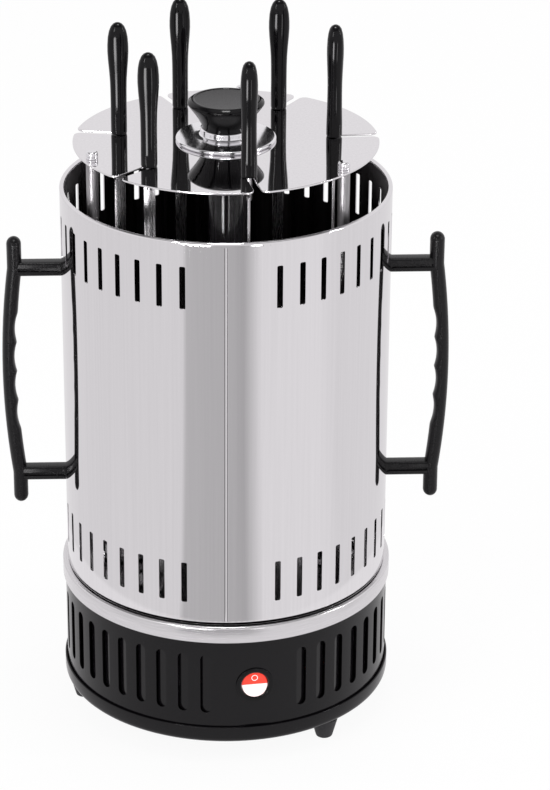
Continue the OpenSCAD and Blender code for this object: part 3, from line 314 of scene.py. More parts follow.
def shift(body: BMesh, way: Sequence[float], points: Sequence[BMVert] = ()) -> BMesh:
    """Moves a body, or only some of its points."""
    bmesh.ops.translate(body, verts=points or body.verts, vec=way)
    return body


def stretch(body: BMesh, by: Sequence[float], points: Sequence[BMVert] = ()) -> BMesh:
    """Scales a body, or only some of its points, about the origin."""
    bmesh.ops.scale(body, verts=points or body.verts, vec=by)
    return body


def rotate(body: BMesh, angle: float, axis: str, centre: Sequence[float] = (0, 0, 0)) -> BMesh:
    """Turns a body by degrees about an axis through a point."""
    matrix = Matrix.Rotation(math.radians(angle), 3, axis)
    bmesh.ops.rotate(body, cent=centre, matrix=matrix, verts=body.verts)
    return body


def soften(body: BMesh, parts: Sequence, length: float, segments: int, affect: str = "EDGES") -> None:
    """Rounds edges, or the corners of an outline, by their tangent length."""
    bmesh.ops.bevel(body, geom=parts, offset=length, offset_type="OFFSET", segments=segments,
                    profile=0.5, affect=affect, material=-1)


def sharp_edges(body: BMesh, limit: float) -> list[BMEdge]:
    """Edges whose faces meet at more than a limit, in radians."""
    return [e for e in body.edges if e.is_manifold and e.calc_face_angle(0.0) > limit]


def cut_off(body: BMesh, place: Sequence[float], way: Sequence[float]) -> None:
    """Cuts away what lies beyond a plane and closes the cut."""
    parts = body.verts[:] + body.edges[:] + body.faces[:]
    cut = bmesh.ops.bisect_plane(body, geom=parts, dist=CLOSE, plane_co=place, plane_no=way,
                                 clear_outer=True)
    bmesh.ops.holes_fill(body, edges=[e for e in cut["geom_cut"] if isinstance(e, BMEdge)])


def tidy(body: BMesh, gap: float = NEAR) -> BMesh:
    """Merges doubled points and turns the faces outwards."""
    bmesh.ops.remove_doubles(body, verts=body.verts, dist=gap)
    bmesh.ops.recalc_face_normals(body, faces=body.faces)
    return body


def flat_sheet(width: float, height: float) -> BMesh:
    """A flat sheet of one face about the origin."""
    body = bmesh.new()
    bmesh.ops.create_grid(body, x_segments=1, y_segments=1, size=0.5)
    return stretch(body, (width, height, 1))


def block(size: Place, middle: Place) -> BMesh:
    """A block of a size about a middle point."""
    body = bmesh.new()
    bmesh.ops.create_cube(body, size=1.0)
    return shift(stretch(body, size), middle)


def turned(corners: Sequence[Sequence[float]], steps: int, closed: bool = True, segments: int = 5,
           lift: float = 0.0) -> BMesh:
    """Turns an outline round the vertical axis.

    Args:
        corners: Radius and height of each corner, and the rounding of some, in millimetres.
        steps: Steps of the turn.
        closed: Whether the last corner joins the first, where the first is off the axis.
        segments: Segments of each rounding.
        lift: Height that is added to all corners.

    Returns:
        The turned body, in millimetres.
    """
    body = bmesh.new()
    points = [body.verts.new((r, 0, z + lift)) for r, z, *_ in corners]
    pairs = list(zip(points, points[1:]))
    if closed and corners[0][0] > 0:
        pairs.append((points[-1], points[0]))
    for pair in pairs:
        body.edges.new(pair)
    for point, (_, _, *rounding) in zip(points, corners):
        for length in rounding:
            soften(body, [point], length, segments, "VERTICES")
    bmesh.ops.spin(body, geom=body.verts[:] + body.edges[:], cent=(0, 0, 0), axis=(0, 0, 1),
                   angle=FULL_TURN, steps=steps, use_merge=True, use_duplicate=False)
    return tidy(body)


def loft(rings: Sequence[Sequence[Vector]]) -> BMesh:
    """Extrudes a closed ring from place to place and caps its ends.

    Args:
        rings: The points of each ring, all with the same count, in millimetres.

    Returns:
        The closed body, in millimetres.
    """
    body = bmesh.new()
    made = bmesh.ops.create_circle(body, cap_ends=True, segments=len(rings[0]), radius=1.0)["verts"]
    for vertex, point in zip(made, rings[0]):
        vertex.co = point
    edges = list(body.edges)
    for ring in rings[1:]:
        grown = bmesh.ops.extrude_edge_only(body, edges=edges)["geom"]
        edges = [item for item in grown if isinstance(item, BMEdge)]
        ends = {v for e in edges for v in e.verts}
        follow = {edge.other_vert(end): end for end in ends for edge in end.link_edges}
        made = [follow[vertex] for vertex in made]
        for vertex, point in zip(made, ring):
            vertex.co = point
    bmesh.ops.contextual_create(body, geom=edges)
    return tidy(body, CLOSE / 10)


def bake(name: str, body: BMesh) -> Mesh:
    """Turns a body into a mesh and frees it."""
    mesh = bpy.data.meshes.new(name)
    body.to_mesh(mesh)
    body.free()
    return mesh


def join(target: BMesh, *others: BMesh) -> BMesh:
    """Adds other bodies to the first and frees them."""
    for other in others:
        held = bake("held", other)
        target.from_mesh(held)
        bpy.data.meshes.remove(held)
    return target


def bearing(place: Vector) -> float:
    """Degrees from the front of a place, round the axis."""
    return math.degrees(math.atan2(place.x, -place.y))


def spot(angle: float, reach: float, height: float = 0.0) -> Vector:
    """Point at an angle from the front, at a distance from the axis, in the units given."""
    turn = math.radians(angle)
    return Vector((reach * math.sin(turn), -reach * math.cos(turn), height))


def face_out(body: BMesh, angle: float, reach: float, height: float, tilt: float = 0.0) -> BMesh:
    """Turns a body's +Z outwards along the radius, with its +Y up, and puts it at its place.

    Args:
        body: The body, in millimetres.
        angle: Degrees from the front.
        reach: Distance from the axis.
        height: Height above the floor.
        tilt: Degrees about its own X before it is turned outwards.

    Returns:
        The same body.
    """
    rotate(body, tilt, "X")
    rotate(body, 90, "X")
    rotate(body, angle, "Z")
    return shift(body, spot(angle, reach, height))


def cad_copy(node: str) -> BMesh:
    """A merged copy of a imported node's mesh, in millimetres."""
    body = bmesh.new()
    body.from_mesh(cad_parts[node].data)
    stretch(body, (1 / MM,) * 3)
    bmesh.ops.remove_doubles(body, verts=body.verts, dist=NEAR)
    return body


def add_object(name: str, data: ID) -> Object:
    """Puts a new object with its data into the scene."""
    made = bpy.data.objects.new(name, data)
    bpy.context.collection.objects.link(made)
    return made


def finish_piece(name: str, body: BMesh, finish: Finish, nodes: Sequence[str],
                 rides: str = "base", crease: float = 32.0) -> Object:
    """Makes an object of a body, dresses it and ties it to the frame.

    Args:
        name: The piece's name.
        body: The body, in millimetres; it is freed.
        finish: Its finish.
        nodes: The CAD nodes that it stands for.
        rides: The CAD body that it moves with.
        crease: Edges sharper than this angle, in degrees, stay sharp.

    Returns:
        The new object.
    """
    stretch(body, (MM, MM, MM))
    limit = math.radians(crease)
    for face in body.faces:
        face.smooth = True
    for edge in body.edges:
        edge.smooth = edge.is_manifold and edge.calc_face_angle(0.0) < limit
    piece = add_object(name, bake(name, body))
    piece.data.materials.append(finish.material())
    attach(piece, rides)
    if nodes:
        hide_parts(*nodes)
    LOG.info("%s: %d faces, %s", name, len(piece.data.polygons), finish.name)
    return piece


def dress_faces(piece: Object, finish: Finish, chosen: Callable[[Vector, Vector], bool]) -> None:
    """Gives some faces of a piece a second finish.

    Args:
        piece: The object.
        finish: The second finish.
        chosen: Says from a face's centre and normal whether it has that finish.
    """
    piece.data.materials.append(finish.material())
    for face in piece.data.polygons:
        if chosen(face.center, face.normal):
            face.material_index = 1


def round_normals(piece: Object, chosen: Callable[[Vector], bool], least: float = 0.97) -> None:
    """Gives the faces of a round wall the exact normals of a cylinder.

    Args:
        piece: The object.
        chosen: Says from a face's centre whether it belongs to the wall.
        least: Share of a face's normal that has to point along the radius.
    """
    mesh = piece.data
    normals = [Vector(n.vector) for n in mesh.corner_normals]
    for face in mesh.polygons:
        side = face.normal.dot(Vector((*face.center.xy, 0)).normalized())
        if abs(side) > least and chosen(face.center):
            for corner in face.loop_indices:
                place = mesh.vertices[mesh.loops[corner].vertex_index].co
                flat = Vector((*place.xy, 0)).normalized()
                normals[corner] = flat if side > 0 else -flat
    mesh.normals_split_custom_set(normals)


@dataclass
class Hole:
    """An opening in a round wall, upright, with rounded corners."""

    angle: float
    middle: float
    width: float
    height: float
    rounding: float


def pierced_wall(reach: float, low: float, high: float, holes: Sequence[Hole],
                 cuts: Sequence[float], wall: float, slack: float = 0.01) -> BMesh:
    """Rolls a sheet with holes into a round wall.

    Args:
        reach: Outer radius.
        low: Height of the lower edge.
        high: Height of the upper edge.
        holes: Its openings.
        cuts: Angles of more upright divisions, for the roundness.
        wall: Thickness of the sheet, inwards.
        slack: How far a point may be from a hole's corner to belong to it.

    Returns:
        The wall, in millimetres.
    """
    per_degree = math.radians(reach)
    sheet = shift(flat_sheet(360 * per_degree, high - low), (0, (low + high) / 2, 0))

    def along(angle: float) -> float:
        """Place of an angle along the flat sheet, whose middle is the front."""
        return ((angle + 180) % 360 - 180) * per_degree

    ups = {round(along(a), 4) for a in cuts}
    rows = set()
    for hole in holes:
        for side in (-1, 1):
            ups.add(round(along(hole.angle) + side * hole.width / 2, 4))
            rows.add(round(hole.middle + side * hole.height / 2, 4))
    for places, way in ((ups, Vector((1, 0, 0))), (rows, Vector((0, 1, 0)))):
        for place in sorted(places):
            parts = sheet.verts[:] + sheet.edges[:] + sheet.faces[:]
            bmesh.ops.bisect_plane(sheet, geom=parts, plane_co=way * place, plane_no=way, dist=NEAR)
    inside, corners = [], {}
    for hole in holes:
        x, w, h = along(hole.angle), hole.width / 2, hole.height / 2
        for face in sheet.faces:
            middle = face.calc_center_median()
            if abs(middle.x - x) < w and abs(middle.y - hole.middle) < h:
                inside.append(face)
        for point in sheet.verts:
            aside, up = abs(point.co.x - x) - w, abs(point.co.y - hole.middle) - h
            if max(abs(aside), abs(up)) < slack:
                corners.setdefault(hole.rounding, []).append(point)
    bmesh.ops.delete(sheet, geom=inside, context="FACES")
    for rounding, points in corners.items():
        points = [p for p in points if p.is_valid]
        soften(sheet, points, rounding, 2 if rounding < 2 else 5, "VERTICES")
    for vertex in sheet.verts:
        vertex.co = spot(vertex.co.x / per_degree, reach, vertex.co.y)
    bmesh.ops.remove_doubles(sheet, verts=sheet.verts, dist=NEAR)
    for face in sheet.faces:
        face.normal_update()
    first = sheet.faces[:][0]
    if first.normal.dot(first.calc_center_median()) < 0:
        bmesh.ops.reverse_faces(sheet, faces=sheet.faces)
    bmesh.ops.solidify(sheet, geom=sheet.faces[:], thickness=wall)
    return sheet


@dataclass(frozen=True)
class Lamp:
    """A soft rectangular lamp that looks at the grill, with its measures in metres."""

    name: str
    place: Place
    size: Corner
    watts: float
    mirrored: bool = True
    aim: Place = (0.0, 0.0, 0.2)

    def hang(self) -> None:
        """Hangs the lamp; polished surfaces show it only if it is mirrored."""
        light = bpy.data.lights.new(self.name, "AREA")
        light.shape, light.energy = "RECTANGLE", self.watts
        light.size, light.size_y = self.size
        lamp = add_object(self.name, light)
        lamp.visible_glossy = self.mirrored
        lamp.location = self.place
        way = Vector(self.aim) - lamp.location
        lamp.rotation_euler = way.to_track_quat("-Z", "Y").to_euler()


@dataclass
class Studio:
    """Camera, floor, world and lamps. Ramps are pairs of position and grey."""

    focal_px: float = 3041.58
    frame_px: float = 790.0
    aside_px: float = 49.0
    sensor_mm: float = 24.0
    clip_m: Corner = (0.05, 50.0)
    back_m: float = 1.66204
    up_m: float = 0.95317
    pitch: float = 24.5
    floor_m: float = 12.0
    floor_drop_m: float = 0.0005
    floor_colour: str = "#F2F1F2"
    # The disc, the sector and the glint bands below are painted reflections that only polished surfaces see
    # on the floor.
    near_m: Corner = (0.264, 0.27)
    near_grey: float = 0.86
    glint_band_m: Corner = (0.94, 0.97)
    glint_band_glow: float = 22.0
    clear_share: float = 0.93
    shine_share: float = 0.85
    sector: Stops = (
        (0.0, 0.74), (0.172, 0.73), (0.18, 0.46), (0.262, 0.42), (0.281, 0.36), (0.313, 0.8),
        (0.42, 0.82), (0.47, 0.74), (0.75, 0.8), (1.0, 0.74),
    )
    painted_glint_bands: Stops = (
        (0.0, 0.0), (0.165, 0.0), (0.185, 1.0), (0.205, 1.0), (0.225, 0.0), (0.295, 0.0),
        (0.305, 0.4), (0.315, 0.0), (1.0, 0.0),
    )
    walls: Stops = (
        (0.0, 0.85), (0.52, 0.86), (0.66, 0.7), (0.74, 0.3), (0.86, 0.16), (0.93, 0.75), (1.0, 0.8),
    )
    lamps: tuple[Lamp, ...] = (
        Lamp("key_lamp", (-1.5, -1.1, 1.9), (1.1, 1.1), 12.0, mirrored=False),
        Lamp("fill_lamp", (1.7, -0.7, 1.5), (1.0, 1.0), 8.0, mirrored=False),
        Lamp("back_lamp", (0.3, 1.8, 1.7), (1.2, 1.2), 9.0, mirrored=False),
        Lamp("left_strip", (-1.1, -1.6, 1.25), (0.07, 0.9), 5.0),
        Lamp("right_strip", (1.8, -0.25, 1.15), (0.07, 0.9), 4.0),
        Lamp("top_lamp", (0.0, -0.05, 1.7), (0.28, 0.28), 4.0),
    )

    def camera(self) -> None:
        """Places the camera where the photograph was taken from."""
        lens = bpy.data.cameras.new("photo_camera")
        lens.sensor_fit = "VERTICAL"
        lens.sensor_height = self.sensor_mm
        lens.lens = self.sensor_mm * self.focal_px / self.frame_px
        lens.shift_x = self.aside_px / self.frame_px
        lens.clip_start, lens.clip_end = self.clip_m
        camera = add_object("photo_camera", lens)
        camera.location = (0.0, -self.back_m, self.up_m)
        camera.rotation_euler = (math.radians(90 - self.pitch), 0.0, 0.0)
        bpy.context.scene.camera = camera

    def clear_rays(self, tree: NodeTree) -> Node:
        """One for rays to the camera, straight or through the quartz, and nought for others."""
        rays = add_node(tree, "LightPath").outputs
        return add_node(
            tree, "Math", [rays["Is Camera Ray"], rays["Is Transmission Ray"]], operation="MAXIMUM")

    def mirrored_floor(self, tree: NodeTree) -> Node:
        """Makes what polished metal sees of the floor.

        Polished surfaces alone see it, as painted reflections: it is pale, with a greyer sector where the
        camera stands and a brighter disc close to the grill, and two narrow glowing bands far in front paint
        highlights.

        Args:
            tree: The floor's nodes.

        Returns:
            The node with its colour.
        """
        here = add_node(tree, "TexCoord").outputs["Object"]
        way = add_node(tree, "TexGradient", [here], gradient_type="RADIAL").outputs["Fac"]
        reach = add_node(tree, "VectorMath", [here], operation="LENGTH").outputs["Value"]
        sector, glint_band = add_node(tree, "ValToRGB", [way]), add_node(tree, "ValToRGB", [way])
        set_stops(sector, greys(self.sector))
        set_stops(glint_band, greys(self.painted_glint_bands))
        near = add_node(tree, "MapRange", [reach, *self.near_m, 1.0, 0.0])
        far = add_node(tree, "MapRange", [reach, *self.glint_band_m])
        pale = add_node(tree, "Mix", {0: near, 6: sector, 7: grey(self.near_grey)}, data_type="RGBA")
        glow = add_node(tree, "Math", [far, self.glint_band_glow], operation="MULTIPLY")
        lit = add_node(tree, "VectorMath", {0: glint_band, "Scale": glow}, operation="SCALE")
        return add_node(tree, "VectorMath", [pale.outputs[2], lit], operation="ADD")

    def floor(self) -> None:
        """Lays a pale floor that shows white and keeps a soft shadow."""
        floor = add_object("studio_floor", bake("studio_floor", flat_sheet(self.floor_m, self.floor_m)))
        floor.location.z = -self.floor_drop_m
        made = bpy.data.materials.new("white_studio_sweep")
        tree = cleared(made)
        paper = add_node(tree, "BsdfDiffuse", {"Color": linear(self.floor_colour)})
        white, seen = (add_node(tree, "Emission", [c, 1.0]) for c in (WHITE, self.mirrored_floor(tree)))
        glossy = add_node(tree, "LightPath").outputs["Is Glossy Ray"]
        clear = add_node(tree, "Math", [self.clear_rays(tree), self.clear_share], operation="MULTIPLY")
        shine = add_node(tree, "Math", [glossy, self.shine_share], operation="MULTIPLY")
        lit = add_node(tree, "MixShader", [clear, paper, white])
        add_node(tree, "OutputMaterial", {"Surface": add_node(tree, "MixShader", [shine, lit, seen])})
        floor.data.materials.append(made)

    def world(self) -> None:
        """White backdrop for the camera, and a studio that darkens overhead for metal."""
        world = bpy.data.worlds.new("studio")
        bpy.context.scene.world = world
        tree = cleared(world)
        way = add_node(tree, "TexCoord").outputs["Generated"]
        height = add_node(tree, "SeparateXYZ", [way]).outputs[2]
        walls = add_node(tree, "ValToRGB", [height])
        set_stops(walls, greys(self.walls))
        studio, white = (add_node(tree, "Background", [colour, 1.0]) for colour in (walls, WHITE))
        mixed = add_node(tree, "MixShader", [self.clear_rays(tree), studio, white])
        add_node(tree, "OutputWorld", {"Surface": mixed})

    def build(self) -> None:
        """Sets up the whole studio."""
        bpy.context.scene.view_settings.view_transform = "Standard"
        self.camera()
        self.floor()
        self.world()
        for lamp in self.lamps:
            lamp.hang()


@dataclass
class Base:
    """Bottom plate, feet, louvred band, deck ring and switch, in millimetres and degrees."""

    plate: Outline = (
        (0, 13), (100, 13, 4.0), (100, 23.9, 0.45), (98.8, 23.9, 0.4), (98.8, 14.5, 1.5), (0, 14.5),
    )
    foot: Outline = (
        (0, 0), (4.9, 0, 0.8), (8.4, 13, 0.5), (3, 13), (3, 14.5), (4, 14.5), (3, 16), (0, 16),
    )
    foot_angles: tuple[float, ...] = (41.5, 161.5, 281.5)
    foot_reach: float = 89.8
    sheet: float = 0.8
    band_reach: float = 98.5
    band_z: Corner = (14.5, 90.4)
    louvre: Corner = (6.4, 39.0)
    louvre_z: float = 52.55
    louvre_first: float = 17.0
    louvre_pitch: float = 8.0
    louvre_count: int = 18
    louvre_tilt: float = 15.0
    tongue: float = 0.5
    hole_cuts: tuple[float, ...] = (-13, -9, 9, 13, 168, 172, 188, 192)
    ring: Outline = (
        (92, 85), (91.8, 84.2), (92.9, 84.2), (92.9, 92.15), (95.1, 92.15), (95.6, 90.7), (99.2, 90.7),
        (99.2, 81.2), (100, 81.2, 0.2), (100, 91.5, 1.6), (96.3, 91.5, 0.3), (95.9, 92.95, 0.5),
        (93.7, 92.95), (93.7, 96.75, 0.6), (91.8, 96.75, 0.5),
    )
    well_r: float = 91.85
    # Radius and heights of the ring's seat that gets painted shade.
    shade_r: float = 93.6
    shade_z: Corner = (91.6, 93.0)
    switch_angle: float = 10.0
    switch_z: float = 51.7
    switch_hole: float = 20.4
    bezel_face: float = 99.4
    bezel: Outline = (
        (7.95, -9.8), (10.1, -9.8), (10.1, -0.85), (11.4, -0.85, 0.15), (11.4, -0.2, 0.4),
        (10.5, 0, 0.4), (8.85, 0, 0.5), (7.95, -0.9, 0.5),
    )
    back: Outline = ((0, -21), (10.1, -21, 0.8), (10.1, -9.8), (0, -9.8))
    rocker_d: float = 15.4
    rocker_low: float = -4.4
    rocker_round: float = 0.3
    pivot: float = 97.6
    tilt: float = 8.0
    off_mark: Outline = ((1.5, -0.05), (1.95, -0.05), (1.95, 0.06, 0.04), (1.5, 0.06, 0.04))
    off_mark_up: float = 4.2
    gland_angle: float = 190.0
    gland_z: float = 32.7
    gland_hole: float = 14.0
    gland_face: float = 99.5
    grommet: Outline = (
        (3.7, -8), (6.9, -8, 0.5), (6.9, -0.9), (8.5, -0.9), (8.5, -0.2), (7.9, 0, 0.3), (4.4, 0, 0.3),
        (3.7, -0.7),
    )

    def plate_and_feet(self) -> None:
        """Makes the pressed bottom plate and its three feet."""
        plate = turned(self.plate, 160)
        finish_piece("enamelled_bottom_plate", plate, BLACK_ENAMEL, ["bottom_plate"])
        feet = bmesh.new()
        for angle in self.foot_angles:
            join(feet, shift(turned(self.foot, 40, segments=3), spot(angle, self.foot_reach)))
        finish_piece("rubber_feet", feet, BLACK_RUBBER, ["feet"])

    def flap(self, angle: float, side: int) -> BMesh:
        """Makes the pressed tongue of one louvre, hinged on the side nearer the switch.

        Args:
            angle: Angle of the louvre.
            side: Side of the switch that it is on.

        Returns:
            The tongue, in millimetres.
        """
        half, depth = self.louvre[0] / 2, -self.sheet / 2
        tongue = flat_sheet(*self.louvre)
        soften(tongue, tongue.verts[:], half, 6, "VERTICES")
        bmesh.ops.remove_doubles(tongue, verts=tongue.verts, dist=NEAR)
        bmesh.ops.solidify(tongue, geom=tongue.faces[:], thickness=self.tongue)
        shift(tongue, (0, 0, depth))
        rotate(tongue, side * self.louvre_tilt, "Y", (-side * half, 0, depth))
        bmesh.ops.recalc_face_normals(tongue, faces=tongue.faces)
        return face_out(tongue, angle, self.band_reach, self.louvre_z)

    def band(self) -> None:
        """Makes the enamelled band with its louvres and its two round holes."""
        aside = [self.louvre_first + i * self.louvre_pitch for i in range(self.louvre_count)]
        louvres = [(self.switch_angle + side * a, side) for side in (-1, 1) for a in aside]
        holes = [Hole(a, self.louvre_z, *self.louvre, self.louvre[0] / 2) for a, _ in louvres]
        holes += [
            Hole(angle, height, width, width, width / 2)
            for angle, height, width in (
                (self.switch_angle, self.switch_z, self.switch_hole),
                (self.gland_angle, self.gland_z, self.gland_hole),
            )
        ]
        cuts = [self.switch_angle + a for a in self.hole_cuts]
        cuts += [a + side * self.louvre_pitch / 2 for side in (1, -1) for a, _ in louvres]
        band = pierced_wall(self.band_reach, *self.band_z, holes, cuts, self.sheet)
        join(band, *(self.flap(angle, side) for angle, side in louvres))
        piece = finish_piece("louvred_band", band, BLACK_ENAMEL, ["base_housing"])
        limit = (self.band_reach - 1.5 * self.sheet) * MM
        round_normals(piece, lambda centre: centre.xy.length > limit)

    def deck_ring(self) -> None:
        """Makes the spun ring with painted shade on its seat, and keeps the deck's drilled floor."""
        deck = cad_copy("deck_tray")
        outer = [f for f in deck.faces if f.calc_center_median().xy.length > self.well_r]
        bmesh.ops.delete(deck, geom=outer, context="FACES")
        ring = join(deck, turned(self.ring, 180))
        piece = finish_piece("spun_deck_ring", ring, SPUN_STEEL, ["deck_tray"])
        # Painted shade on the seat, where the shell's edge shades it.
        low, high, inner = self.shade_z[0] * MM, self.shade_z[1] * MM, self.shade_r * MM
        dress_faces(piece, PAINTED_SHADE_SEAT, lambda centre, _: low < centre.z < high and centre.xy.length > inner)

    def rocker_half(self, side: int) -> BMesh:
        """Cuts one half of the rocker from a ball.

        Args:
            side: One for the upper half, minus one for the lower.

        Returns:
            The half with its rim rounded, in millimetres.
        """
        lean = math.radians(self.tilt)
        half = bmesh.new()
        bmesh.ops.create_uvsphere(half, u_segments=64, v_segments=32, radius=self.rocker_d / 2)
        cut_off(half, (0, 0, 0), (0, -side, 0))
        cut_off(half, (0, 0, 0), (0, -side * math.sin(lean), math.cos(lean)))
        cut_off(half, (0, 0, self.rocker_low), (0, 0, -1))
        # The short sharp edges near its face are its rim.
        rim = [e for e in sharp_edges(half, 0.6) if e.calc_length() < 2.0 and e.verts[0].co.z > -0.5]
        soften(half, rim, self.rocker_round, 3)
        return half

    def switch(self) -> None:
        """Makes the round rocker switch; the glow of its halves and the pale of its lower half are painted
        light.
        """
        body = join(turned(self.bezel, 72), turned(self.back, 48))
        face_out(body, self.switch_angle, self.bezel_face, self.switch_z)
        finish_piece("switch_bezel", body, GLOSS_PHENOLIC, ["switch_body"])
        mark = rotate(shift(turned(self.off_mark, 40), (0, self.off_mark_up, 0)), self.tilt, "X")
        # Painted glow on both halves and painted highlight on the lower half; the off mark is print with a
        # painted glow.
        for name, body, finish, nodes in (
            ("rocker_off_half", self.rocker_half(1), RED_ACRYLIC, ["switch_rocker"]),
            ("rocker_on_half", self.rocker_half(-1), PALE_ACRYLIC_PAINTED_HIGHLIGHT, ["switch_rocker"]),
            ("rocker_off_mark", mark, PALE_ACRYLIC_PAINTED_HIGHLIGHT, []),
        ):
            face_out(body, self.switch_angle, self.pivot, self.switch_z, -self.tilt)
            finish_piece(name, body, finish, nodes, "rocker")

    def gland(self) -> None:
        """Makes the rubber grommet at the back."""
        grommet = face_out(turned(self.grommet, 48), self.gland_angle, self.gland_face, self.gland_z)
        finish_piece("lead_grommet", grommet, BLACK_RUBBER, ["cord_gland"])

    def build(self) -> None:
        """Builds the base."""
        self.plate_and_feet()
        self.band()
        self.deck_ring()
        self.switch()
        self.gland()


@dataclass
class Shell:
    """The lift-off shell with its two grips, in millimetres and degrees.

    The seam is a fine groove from its first angle to its second, on both sides of the front, with painted
    shade on it there.
    """

    reach: float = 97.0
    sheet: float = 0.8
    wall_z: Corner = (93.65, 330.35)
    rim: Outline = ((94.2, 328.95, 1.39), (97, 328.95, 0.2), (97, 331.75, 1.39), (94.2, 331.75, 1.39))
    hem: Outline = ((94, 93.25, 0.2), (97, 93.25, 0.3), (97, 94.05), (94, 94.05))
    round_z: Corner = (94.25, 328.65)
    slot: Corner = (3.5, 25.7)
    slot_round: float = 0.8
    slot_rows: Corner = (303.95, 118.55)
    shell_turn: float = 1.8
    slot_ring: int = 44
    slots_left_out: int = 3
    seam: Corner = (0.3, 0.5)
    seam_depth: Corner = (0.02, 0.2)
    grip_reach: float = 124.5
    grip_bow: float = 4.5
    grip_len: float = 172.0
    grip_w: float = 8.7
    grip_depth: float = 11.0
    grip_sides: int = 28
    grip_steps: int = 96
    groove_depth: float = 1.4
    groove_pitch: float = 19.0
    groove_count: int = 4
    grip_middle: float = 213.35
    arm_span: float = 133.0
    arm_h: float = 8.4
    arm_depth: float = 9.0
    arm_round: float = 1.6
    arm_recess: Corner = (1.5, 0.7)

    def wall(self) -> BMesh:
        """Makes the slotted wall with its seam.

        Returns:
            The wall, in millimetres.
        """
        pitch = 360 / self.slot_ring
        first = self.shell_turn + (self.slots_left_out + 1) / 2 * pitch
        angles = [first + i * pitch for i in range(self.slot_ring - self.slots_left_out)]
        holes = [Hole(a, z, *self.slot, self.slot_round) for a in angles for z in self.slot_rows]
        cuts = [self.shell_turn + i * pitch / 2 for i in range(2 * self.slot_ring + 1)]
        cuts += [-self.seam[1], -self.seam[0], 0.0, *self.seam]
        cuts += [self.shell_turn + i * pitch / 4 for i in range(-7, 8, 2)]
        wall = pierced_wall(self.reach, *self.wall_z, holes, cuts, self.sheet)
        for vertex in wall.verts:
            turn = abs(bearing(vertex.co))
            if vertex.co.xy.length > self.reach - 0.1 and turn < self.seam[0] + 0.02:
                depth = self.seam_depth[0] if turn < 0.05 else self.seam_depth[1]
                vertex.co -= Vector((*vertex.co.xy, 0)).normalized() * depth
        return wall

    def gets_painted_shade(self, centre: Vector, _: Vector) -> bool:
        """Whether a face of the shell gets painted shade: on its inside, or along the seam's edge."""
        inside = centre.xy.length < (self.reach - 0.5) * MM
        beside = self.seam[0] < abs(bearing(centre)) < self.seam[1]
        return centre.z < self.rim[0][1] * MM and (inside or beside)

    def cover(self) -> None:
        """Joins the wall, its rolled rim and its hem, and dresses them: polished outside, painted shade
        inside.
        """
        body = join(self.wall(), turned(self.rim, 180, segments=6), turned(self.hem, 180))
        piece = finish_piece(
            "polished_shell", body, POLISHED_SHEET, ["shell"], "shell_cover", crease=40)
        # Painted shade on the inside and along the seam's edges.
        dress_faces(piece, PAINTED_SHADE_SHEET, self.gets_painted_shade)
        low, high = self.round_z
        round_normals(piece, lambda centre: low < centre.z / MM < high)

    def groove(self, z: float) -> float:
        """Depth of the finger grooves at a height from the grip's middle."""
        u = z / self.groove_pitch + self.groove_count / 2
        if not 0 < u < self.groove_count:
            return 0.0
        part = u - math.floor(u)
        return self.groove_depth * 4 * part * (1 - part)

    def grip(self) -> BMesh:
        """Makes the bowed grip of the right handle, with its finger grooves.

        Returns:
            The grip, in millimetres.
        """
        half, dome, steps = self.grip_len / 2, self.grip_w / 2, self.grip_steps
        ends = [-half + dome * (1 - math.cos(math.radians(a))) for a in range(0, 90, 12)]
        heights = ends + [-half + dome + (self.grip_len - 2 * dome) * i / steps for i in range(steps + 1)]
        rings = []
        for z in heights + [-z for z in reversed(ends)]:
            near = min(half - abs(z), dome)
            full = max(math.sqrt(max(1 - (1 - near / dome) ** 2, 0.0)), 0.12)
            middle = self.grip_reach + max(self.grip_bow * (1 - (2 * z / self.arm_span) ** 2), 0.0)
            ring = []
            for turn in (FULL_TURN * j / self.grip_sides for j in range(self.grip_sides)):
                flat = dome - (self.groove(z) if math.cos(turn) < 0 else 0.0)
                aside, deep = math.cos(turn) * flat, math.sin(turn) * self.grip_depth / 2
                ring.append(Vector((middle + full * aside, full * deep, self.grip_middle + z)))
            rings.append(ring)
        return loft(rings)

    def arm(self, middle: float) -> BMesh:
        """Makes one arm, cut flat where it meets the shell.

        Args:
            middle: Height of the arm's middle.

        Returns:
            The arm, in millimetres.
        """
        start, end = self.reach - 1.0, self.grip_reach + 1.0
        arm = block((end - start, self.arm_depth, self.arm_h), ((start + end) / 2, 0, middle))
        long_edges = [e for e in arm.edges if abs((e.verts[0].co - e.verts[1].co).normalized().x) > 0.9]
        soften(arm, long_edges, self.arm_round, 4)
        margin, depth = self.arm_recess
        for side in (-1, 1):
            front = [f for f in arm.faces if f.normal.y * side > 0.95]
            bmesh.ops.inset_region(arm, faces=front, thickness=margin, use_even_offset=True)
            shift(arm, (0, -side * depth, 0), list({v for f in front for v in f.verts}))
        cut_off(arm, (self.reach, 0, 0), (-1, 0, 0))
        return arm

    def handles(self) -> None:
        """Makes both carrying handles, mirrored."""
        for hand in ("right", "left"):
            arms = (self.arm(self.grip_middle + side * self.arm_span / 2) for side in (-1, 1))
            handle = join(self.grip(), *arms)
            if hand == "left":
                stretch(handle, (-1, 1, 1))
                bmesh.ops.reverse_faces(handle, faces=handle.faces)
            rotate(handle, self.shell_turn, "Z")
            finish_piece(f"{hand}_grip", handle, SATIN_PHENOLIC, [f"{hand}_handle"],
                         "shell_cover", crease=45)

    def build(self) -> None:
        """Builds the shell."""
        self.cover()
        self.handles()


